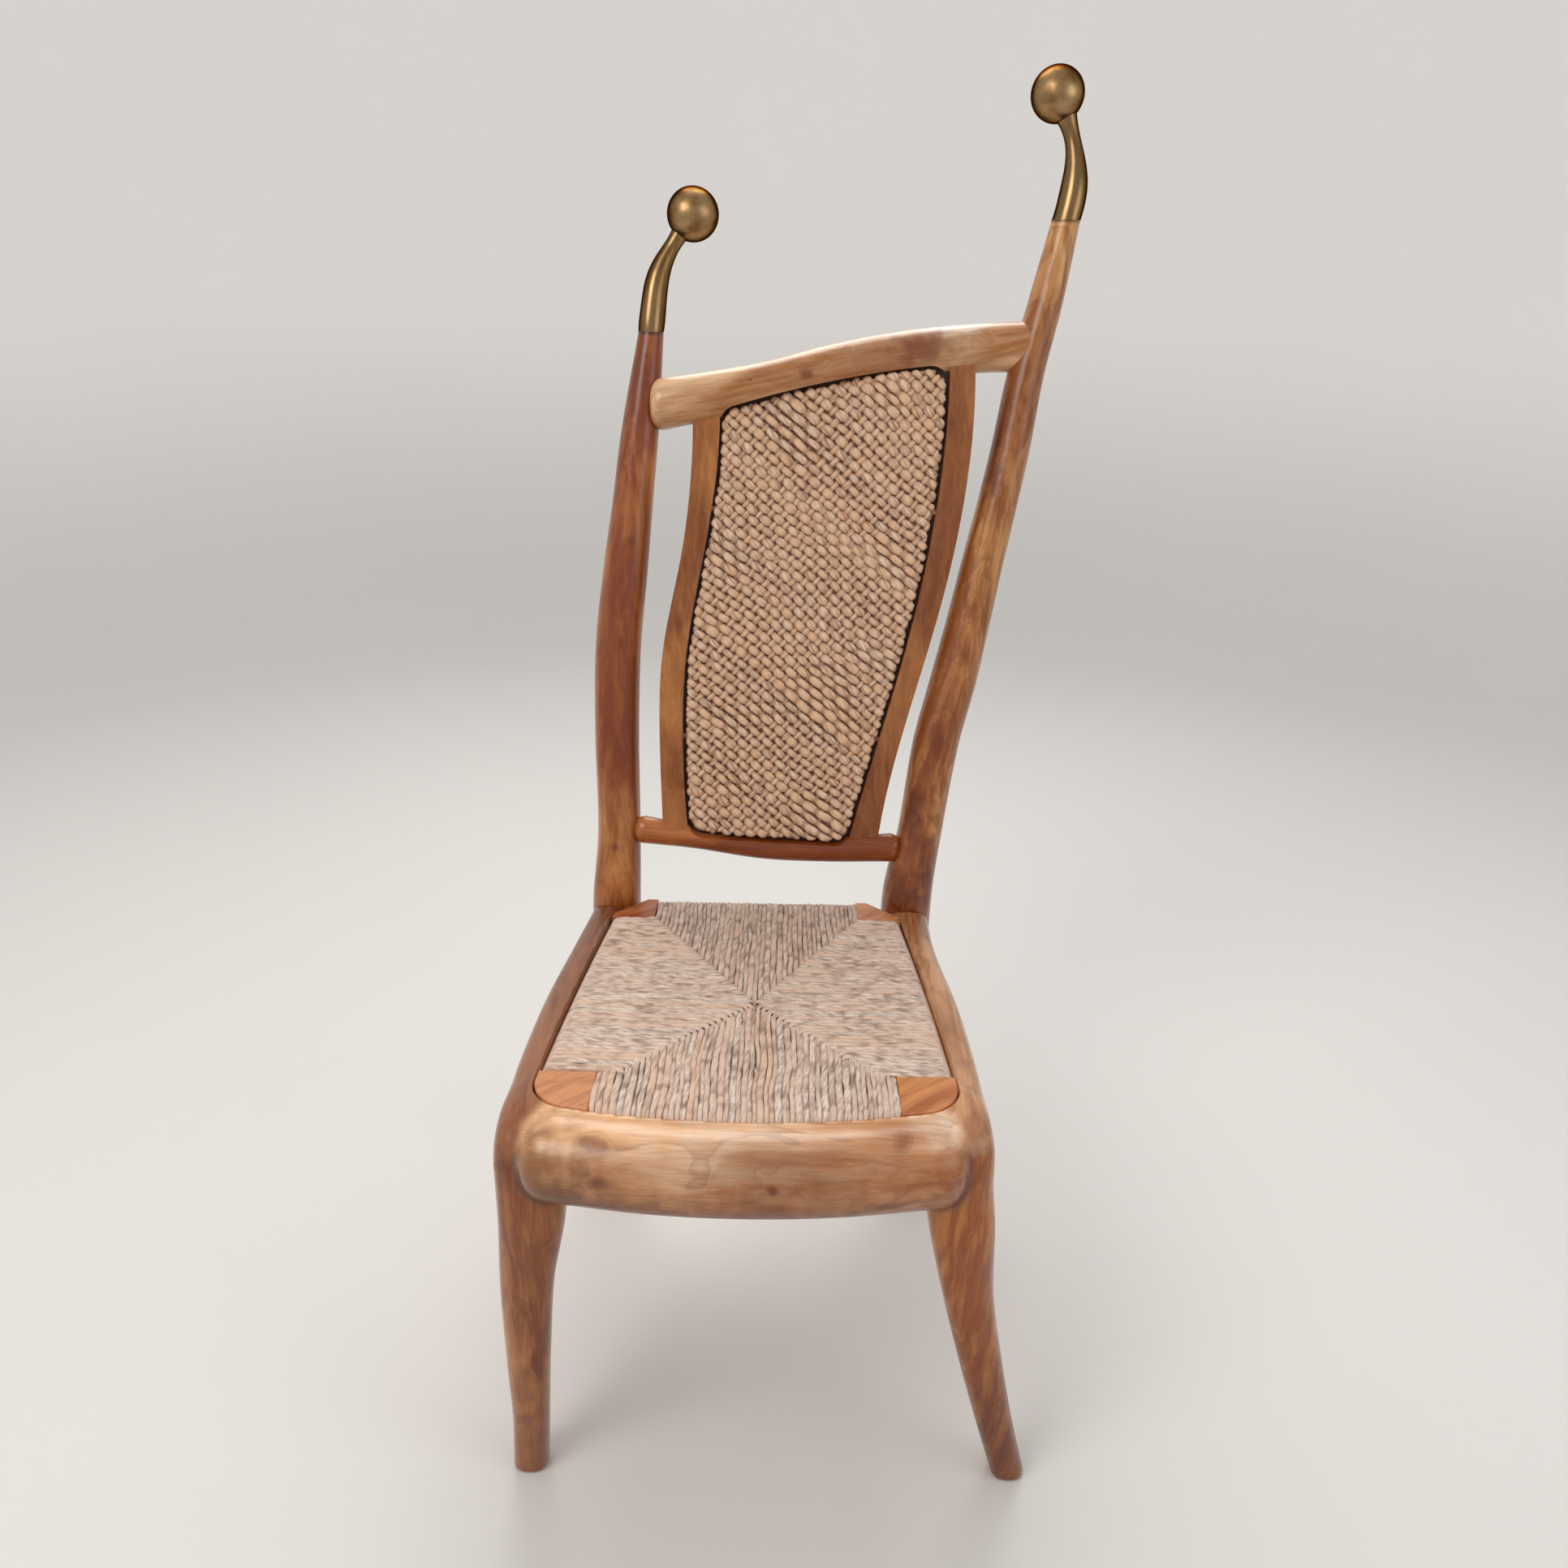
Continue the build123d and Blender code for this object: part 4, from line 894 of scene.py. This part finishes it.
# Cords: their thickness, the rounds that they turn at the seam and over the edge, their steps
# above and below, how far they rise, sink, drift together and wander, and how much they spread
RUSH_DEPTH = 0.005
RUSH_TURN = 0.008
RUSH_ROUND = 0.009
RUSH_STEP = 0.0045
RUSH_STEP_BELOW = 0.014
RUSH_SINK = 0.0015
RUSH_RISE = 0.0007
RUSH_DRIFT = 0.0034
RUSH_WANDER = 0.0009
RUSH_SPREAD = 1.08

# Distance from the edge over which the drift fades
RUSH_CALM = 0.03

# Each side of the seat: the way its cords lie apart, the way out, and its blocks
RUSH_SIDES = {
    "rush_front": ((1, 0, 0), (0, -1, 0), "front_left_block", "front_right_block"),
    "rush_rear": ((1, 0, 0), (0, 1, 0), "rear_left_block", "rear_right_block"),
    "rush_left": ((0, 1, 0), (-1, 0, 0), "front_left_block", "rear_left_block"),
    "rush_right": ((0, 1, 0), (1, 0, 0), "front_right_block", "rear_right_block"),
}


class CHAIR_OT_lay_rush(bpy.types.Operator):
    """Lays the rush of the seat in four triangles, wrapped over and under its rails"""

    bl_idname = "chair.lay_rush"
    bl_label = "Lay the rush seat"

    def execute(self, context):
        rush = context.scene.chair_rush
        solid = BVHTree.FromObject(nodes["rush_seat"], context.evaluated_depsgraph_get())
        low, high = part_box("rush_seat")
        material = plant_fibre("Seat rush", rush.colour, shade(116, 74, 54), 12.0, 34.0,
                               (0.84, 0.72, 0.64), 0.15, 0.5)
        chance = random.Random(5)
        for name, (across, outward, first, last) in RUSH_SIDES.items():
            across, outward = Vector(across), Vector(outward)
            mesh, layers = start_cords()
            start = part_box(first)[1].dot(across)
            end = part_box(last)[0].dot(across)
            hub = RUSH_HUB.dot(across)
            corner = min(spot.dot(outward) for block in (first, last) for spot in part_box(block))
            count = round((end - start) / rush.pitch)
            widths = [chance.uniform(0.75, 1.3) for _ in range(count)]
            scale = (end - start) / sum(widths)
            at = start
            for width in widths:
                width *= scale
                at += width / 2
                seed = chance.uniform(0, 400)
                flat = at * across + outward
                edge = solid.ray_cast(Vector((flat.x, flat.y, (low.z + high.z) / 2)),
                                      -outward)[0]
                share = (at - start) / (hub - start) if at < hub else (end - at) / (end - hub)
                seam = corner + (RUSH_HUB.dot(outward) - corner) * share
                if edge is not None:
                    path = cord_path(across, outward, at, seam, edge.dot(outward), low.z,
                                     high.z, -1.0 if at < hub else 1.0, seed)
                    lay_cord(mesh, layers, path, [width * RUSH_SPREAD] * len(path),
                             RUSH_DEPTH, seed)
                at += width / 2
            finish_cords(mesh, name, material, "drop_in_seat")
        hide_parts("rush_seat")
        return {"FINISHED"}


def cord_path(across, outward, at, seam, outer, bottom, top, way, seed):
    """Path of one cord from the seam on top, over the edge and back to the seam below."""
    half = RUSH_DEPTH / 2
    high, low = top - half, bottom + half
    up = Vector((0, 0, 1))
    path = []

    # The last value of each place, sunk, is how deep it lies, and the material darkens it there as
    # painted shade
    def put(distance, z, normal, shift=0.0, sunk=0.0):
        spot = at * across + distance * outward
        drift = RUSH_DRIFT * noise.noise(Vector((spot.x * 16, spot.y * 16, 4.2)))
        drift += RUSH_WANDER * waver(seed, distance * 55.0)
        ease = min(1.0, max(0.0, (outer - distance) / RUSH_CALM))
        spot += across * (drift * ease + shift)
        path.append((Vector((spot.x, spot.y, z)), normal, sunk))

    if outward.x:
        for angle in (85, 60, 35, 12):
            turn = radians(angle)
            put(seam + RUSH_TURN * (1 - sin(turn)),
                high + 0.0006 - 0.005 * max(0.0, sin(turn) - 0.8) / 0.2, up,
                way * RUSH_TURN * (1 - cos(turn)), 0.7 * max(0.0, sin(turn) - 0.85) / 0.15)
        inner = seam + RUSH_TURN + 0.002
    else:
        put(seam - 0.004, high - 0.0045, up, sunk=0.9)
        put(seam + 0.003, high - 0.0025, up, sunk=0.5)
        inner = seam + 0.009
    reach = outer - RUSH_ROUND - inner
    steps = max(2, round(reach / RUSH_STEP))
    for index in range(steps + 1):
        distance = inner + reach * index / steps
        lift = RUSH_SINK * waver(seed + 0.2, distance * 95.0)
        put(distance, high + min(lift, RUSH_RISE), up, sunk=max(0.0, -lift * 700))
    for z, side, angles in ((high, 1, (25, 50, 75)), (low, -1, (75, 50, 25))):
        for angle in angles:
            turn = radians(angle)
            put(outer - RUSH_ROUND * (1 - sin(turn)) - half,
                z - side * RUSH_ROUND * (1 - cos(turn)),
                outward * sin(turn) + side * up * cos(turn))
        if side > 0:
            put(outer - half, (high + low) / 2, outward)
    steps = max(2, round(reach / RUSH_STEP_BELOW))
    for index in range(steps, -1, -1):
        put(inner + reach * index / steps, low, -up)
    put(seam - 0.003, low + 0.003, -up, sunk=0.6)
    return path


# Back panel

# Cords: their thickness, how far they swing in and out, the warp of the whole plait, and how
# far a single cord wanders
WEAVE_DEPTH = 0.0064
WEAVE_SWING = 0.0026
WEAVE_WARP = 0.006
WEAVE_WANDER = 0.0014

# Steps along a cord from one crossing cord to the next
WEAVE_STEPS = 4

# For the falling and the climbing cords: their width as a share of the pitch, and how far
# they stand out of the plait
WEAVE_WIDTHS = (0.88, 0.6)
WEAVE_LIFTS = (0.0011, -0.0006)

# Strip of painted shade round the panel: its reach past the panel's edge, under the cords and at
# the corners, its depth, and the places that it is measured at
EDGE_SHADE_OUT = 0.0012
EDGE_SHADE_IN = 0.012
EDGE_SHADE_CORNER = 0.004
EDGE_SHADE_DEPTH = 0.005
EDGE_PLACES = 240


class CHAIR_OT_weave_panel(bpy.types.Operator):
    """Weaves both faces of the back panel from two sets of slanting cords and paints shade round
    its edge
    """

    bl_idname = "chair.weave_panel"
    bl_label = "Weave the back panel"

    def execute(self, context):
        weave = context.scene.chair_weave
        panel = nodes["woven_back_panel"]
        solid = BVHTree.FromObject(panel, context.evaluated_depsgraph_get())
        material = plant_fibre("Panel fibre", weave.colour, shade(132, 78, 48), 18.0, 30.0,
                               (0.88, 0.76, 0.66), 0.12, 0.7)
        for face, view in (("front", 1), ("rear", -1)):
            for family, name in enumerate(("falling", "climbing")):
                mesh, layers = start_cords()
                weave_family(mesh, layers, solid, weave, view, family)
                finish_cords(mesh, f"{face}_{name}_cords", material, "frame")
        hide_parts("woven_back_panel")
        shade_panel_edge(solid)
        return {"FINISHED"}


def weave_family(mesh, layers, solid, weave, view, family):
    """Weaves the cords of one direction on one face."""
    low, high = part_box("woven_back_panel")
    centre = (low + high) / 2
    reach = (high - low).length / 2
    slopes = (-weave.fall * view, weave.climb * view)
    slope, other = slopes[family], slopes[1 - family]
    along = Vector((cos(slope), 0, sin(slope)))
    across = Vector((-sin(slope), 0, cos(slope)))
    cross_across = Vector((-sin(other), 0, cos(other)))
    count = int(reach / weave.pitch) + 1
    chance = random.Random(11 + family + view)
    sign = 1 if family == 0 else -1
    inward = Vector((0, view, 0))
    for index in range(-count, count + 1):
        seed = chance.uniform(0, 400)
        width = weave.pitch * WEAVE_WIDTHS[family] * chance.uniform(0.82, 1.16)
        base = centre + across * (index * weave.pitch)
        path, widths = [], []
        for step in range(int(2 * reach / (weave.pitch / WEAVE_STEPS))):
            flat = base + along * (step * weave.pitch / WEAVE_STEPS - reach)
            swing = cos(pi * ((flat - centre).dot(cross_across) / weave.pitch + index))
            swing = sign * copysign(abs(swing) ** 0.75, swing)
            float_share = max(0.0, noise.noise(flat * 17 + Vector((2, view, 9))) - 0.14)
            swing = swing * 0.95 + sign * (0.05 + min(0.8, 2.5 * float_share))
            flat += across * WEAVE_WANDER * waver(seed, step * 0.13)
            flat.x += WEAVE_WARP * noise.noise(flat * 9 + Vector((0, view, 0)))
            flat.z += WEAVE_WARP * noise.noise(flat * 9 + Vector((5, view, 3)))
            hit, normal, _, _ = solid.ray_cast(Vector((flat.x, centre.y - view, flat.z)), inward)
            if hit is None or abs(normal.y) < 0.2:
                continue
            calm = min(1.0, abs(normal.y) * 1.15)
            lift = WEAVE_LIFTS[family] - 0.0004 + 0.0005 * waver(seed + 0.7, step * 0.3)
            swing = min(1.0, max(-1.0, swing))
            sunk = WEAVE_DEPTH / 2 + WEAVE_SWING * (1 - swing * calm) - lift
            # Its last value, how far the cord dips under the crossing cord, is darkened by the
            # material as painted shade
            path.append((hit - normal * sunk, normal, 0.5 - 0.5 * swing))
            widths.append(width * (1 + 0.1 * swing))
        if len(path) < 3:
            continue
        path = [tucked(path[0], -along, inward), *path, tucked(path[-1], along, inward)]
        lay_cord(mesh, layers, path, [widths[0], *widths, widths[-1]], WEAVE_DEPTH, seed)


def tucked(end, way, inward):
    """Place past the end of a cord, round the edge of the panel."""
    point, normal, sunk = end
    return (point + way * 0.0012 + inward * 0.006, (normal + 2 * way).normalized(), sunk)


def shade_panel_edge(solid):
    """Dark strip of painted shade round the panel, in the groove between it and the slats and
    rails.
    """
    low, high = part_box("woven_back_panel")
    centre = (low + high) / 2
    mesh = bmesh.new()
    rims = []
    for number in range(EDGE_PLACES):
        turn = 2 * pi * number / EDGE_PLACES
        way = Vector((cos(turn), 0, sin(turn)))
        near, far = 0.0, (high - low).length
        for _ in range(16):
            middle = (near + far) / 2
            probe = centre + way * middle
            if solid.ray_cast(Vector((probe.x, low.y - 1, probe.z)), Vector((0, 1, 0)))[0]:
                near = middle
            else:
                far = middle
        spot = centre + way * (near - 0.001)
        faces = [solid.ray_cast(Vector((spot.x, centre.y - view, spot.z)),
                                Vector((0, view, 0)))[0] for view in (1, -1)]
        edge = centre + way * near
        edge.y = (faces[0].y + faces[1].y) / 2 + EDGE_SHADE_DEPTH / 2
        rims.append(edge)
    strip = []
    for number, edge in enumerate(rims):
        tangent = rims[(number + 1) % EDGE_PLACES] - rims[number - 1]
        out = Vector((tangent.z, 0, -tangent.x)).normalized()
        before = edge - rims[number - 4]
        after = rims[(number + 4) % EDGE_PLACES] - edge
        reach = EDGE_SHADE_OUT + EDGE_SHADE_CORNER * smooth_step(before.angle(after) / 0.6)
        strip.append([mesh.verts.new(edge + out * far) for far in (-EDGE_SHADE_IN, reach)])
    for number, (inner, outer) in enumerate(strip):
        after_inner, after_outer = strip[(number + 1) % EDGE_PLACES]
        mesh.faces.new((inner, after_inner, after_outer, outer))
    bmesh.ops.recalc_face_normals(mesh, faces=mesh.faces[:])
    bmesh.ops.solidify(mesh, geom=mesh.faces[:], thickness=EDGE_SHADE_DEPTH)
    piece = mesh_piece(mesh, "panel_edge_shade")
    # Near-black colour that stands in for the shade deep in the groove
    material, tree, shader = new_material("Painted edge shade", {"Roughness": 0.8})
    twist = speckle(tree, object_place(tree), 300.0, 3.0)[0]
    tone = mix_colour(tree, twist, (*shade(34, 20, 12), 1), (*shade(74, 46, 30), 1))
    tree.links.new(tone, shader.inputs["Base Color"])
    add_bump(tree, shader, twist, 0.0005)
    dress(piece, material)
    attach(piece, "frame")


# Studio

# Radius of the round studio, of the cove at its foot, and the height of its wall
ROOM = 4.5
COVE = 1.5
WALL = 3.2

# Name, place, aim, size, power and colour of each lamp
LAMPS = (
    ("Key", (-1.6, -1.7, 2.5), (0, 0, 0.7), 1.6, 30.0, (1.0, 0.97, 0.93)),
    ("Fill", (2.3, -1.4, 1.6), (0, 0, 0.6), 1.8, 10.0, (0.94, 0.97, 1.0)),
    ("Top", (-0.1, 1.3, 2.7), (0, -0.2, 0.45), 1.7, 34.0, (1.0, 0.99, 0.98)),
)

# Camera: its place, how far it looks down and how far it leans
CAMERA_PLACE = (SEAT_X + 0.030, SEAT_REAR - 0.210 - 1.112, 1.110)
CAMERA_DIP = 21.2
CAMERA_LEAN = 1.0


class CHAIR_OT_set_studio(bpy.types.Operator):
    """Lays the floor and sets the lamps and the camera"""

    bl_idname = "chair.set_studio"
    bl_label = "Set the studio"

    def execute(self, context):
        studio = context.scene.chair_studio
        scene = context.scene
        scene.view_settings.view_transform = "Standard"
        lay_floor(studio.floor)
        light_world(scene)
        for name, place, aim, size, power, tone in LAMPS:
            lamp = bpy.data.lights.new(name, "AREA")
            lamp.shape = "DISK"
            lamp.size = size
            lamp.energy = power * studio.lamps
            lamp.color = tone
            lit = bpy.data.objects.new(name, lamp)
            lit.location = place
            lit.rotation_euler = (Vector(aim) - Vector(place)).to_track_quat("-Z", "Y").to_euler()
            scene.collection.objects.link(lit)

        lens = bpy.data.cameras.new("Camera")
        lens.lens = 27.95
        lens.sensor_width = 36.0
        camera = bpy.data.objects.new("Camera", lens)
        camera.location = CAMERA_PLACE
        pitch = Euler((radians(90 - CAMERA_DIP), 0, 0)).to_matrix()
        roll = Euler((0, 0, radians(CAMERA_LEAN))).to_matrix()
        camera.rotation_euler = (pitch @ roll).to_euler()
        scene.collection.objects.link(camera)
        scene.camera = camera
        return {"FINISHED"}


def lay_floor(colour):
    """Round floor that curves up into a wall, which glows a little to the camera."""
    floor, tree, shader = new_material(
        "Pale floor", {"Roughness": 0.9, "Emission Strength": 1.0})
    here = object_place(tree)
    mottle = speckle(tree, here, 1.5, 2.0)[0]
    tone = mix_colour(tree, mottle, toned(colour, 0.97, 0.97, 0.97), (*colour, 1))
    tree.links.new(tone, shader.inputs["Base Color"])
    rays = add_node(tree, "LightPath").outputs
    seen = maths(tree, "MAXIMUM", rays["Is Camera Ray"], rays["Is Glossy Ray"])
    height = add_node(tree, "SeparateXYZ", [(0, here)]).outputs[2]
    glow = maths(tree, "MULTIPLY", seen, span(tree, height, 0.0, 1.2, 0.0, 0.2, "SMOOTHSTEP"))
    glow = add_node(tree, "CombineXYZ", [(0, glow), (1, glow), (2, glow)]).outputs[0]
    tree.links.new(glow, shader.inputs["Emission Color"])
    mesh = bmesh.new()
    line = [Vector((0, 0, 0)), Vector((ROOM - COVE, 0, 0))]
    line += [Vector((ROOM - COVE * (1 - sin(radians(turn))), 0,
                     COVE * (1 - cos(radians(turn))))) for turn in range(10, 91, 10)]
    line.append(Vector((ROOM, 0, WALL)))
    verts = [mesh.verts.new(place) for place in line]
    edges = [mesh.edges.new(pair) for pair in zip(verts, verts[1:])]
    bmesh.ops.spin(mesh, geom=verts + edges, axis=(0, 0, 1), cent=(0, 0, 0), angle=2 * pi,
                   steps=72, use_merge=True)
    piece = mesh_piece(mesh, "studio_floor")
    for face in piece.data.polygons:
        face.use_smooth = True
    dress(piece, floor)


def light_world(scene):
    """Even light from all sides, which the camera sees in the colour of the wall."""
    world = bpy.data.worlds.new("Studio")
    scene.world = world
    world.use_nodes = True
    tree = world.node_tree
    back = tree.nodes["Background"]
    back.inputs["Color"].default_value = (0.98, 0.99, 1.0, 1)
    back.inputs["Strength"].default_value = 0.6
    behind = add_node(tree, "Background",
                      [("Color", (*shade(214, 211, 206), 1)), ("Strength", 1.0)])
    rays = add_node(tree, "LightPath").outputs
    both = add_node(tree, "MixShader",
                    [(0, rays["Is Camera Ray"]), (1, back.outputs[0]),
                     (2, behind.outputs[0])])
    tree.links.new(both.outputs[0], tree.nodes["World Output"].inputs["Surface"])


class CHAIR_PT_panel(bpy.types.Panel):
    """Chair"""

    bl_label = "High-backed chair"
    bl_space_type = "VIEW_3D"
    bl_region_type = "UI"
    bl_category = "Chair"

    def draw(self, context):
        for title, settings, operator in (
            ("Frame", "chair_wood", "chair.finish_frame"),
            ("Brass", "chair_brass", "chair.finish_brass"),
            ("Seat", "chair_rush", "chair.lay_rush"),
            ("Back panel", "chair_weave", "chair.weave_panel"),
            ("Studio", "chair_studio", "chair.set_studio"),
        ):
            box = self.layout.box()
            box.label(text=title)
            group = getattr(context.scene, settings)
            for name in group.bl_rna.properties.keys():
                if name not in ("rna_type", "name"):
                    box.prop(group, name)
            box.operator(operator)


classes = (
    ChairWood, ChairBrass, ChairRush, ChairWeave, ChairStudio,
    CHAIR_OT_finish_frame, CHAIR_OT_finish_brass, CHAIR_OT_lay_rush, CHAIR_OT_weave_panel,
    CHAIR_OT_set_studio, CHAIR_PT_panel,
)


def register():
    """Registers the classes and their settings."""
    for kind in classes:
        bpy.utils.register_class(kind)
    bpy.types.Scene.chair_wood = PointerProperty(type=ChairWood)
    bpy.types.Scene.chair_brass = PointerProperty(type=ChairBrass)
    bpy.types.Scene.chair_rush = PointerProperty(type=ChairRush)
    bpy.types.Scene.chair_weave = PointerProperty(type=ChairWeave)
    bpy.types.Scene.chair_studio = PointerProperty(type=ChairStudio)


def unregister():
    """Takes the settings and classes away again."""
    for name in ("chair_wood", "chair_brass", "chair_rush", "chair_weave", "chair_studio"):
        delattr(bpy.types.Scene, name)
    for kind in reversed(classes):
        bpy.utils.unregister_class(kind)


def main():
    """Builds the chair's looks, piece by piece."""
    register()
    bpy.ops.chair.finish_frame()
    bpy.ops.chair.finish_brass()
    bpy.ops.chair.lay_rush()
    bpy.ops.chair.weave_panel()
    bpy.ops.chair.set_studio()


if __name__ == "__main__":
    main()
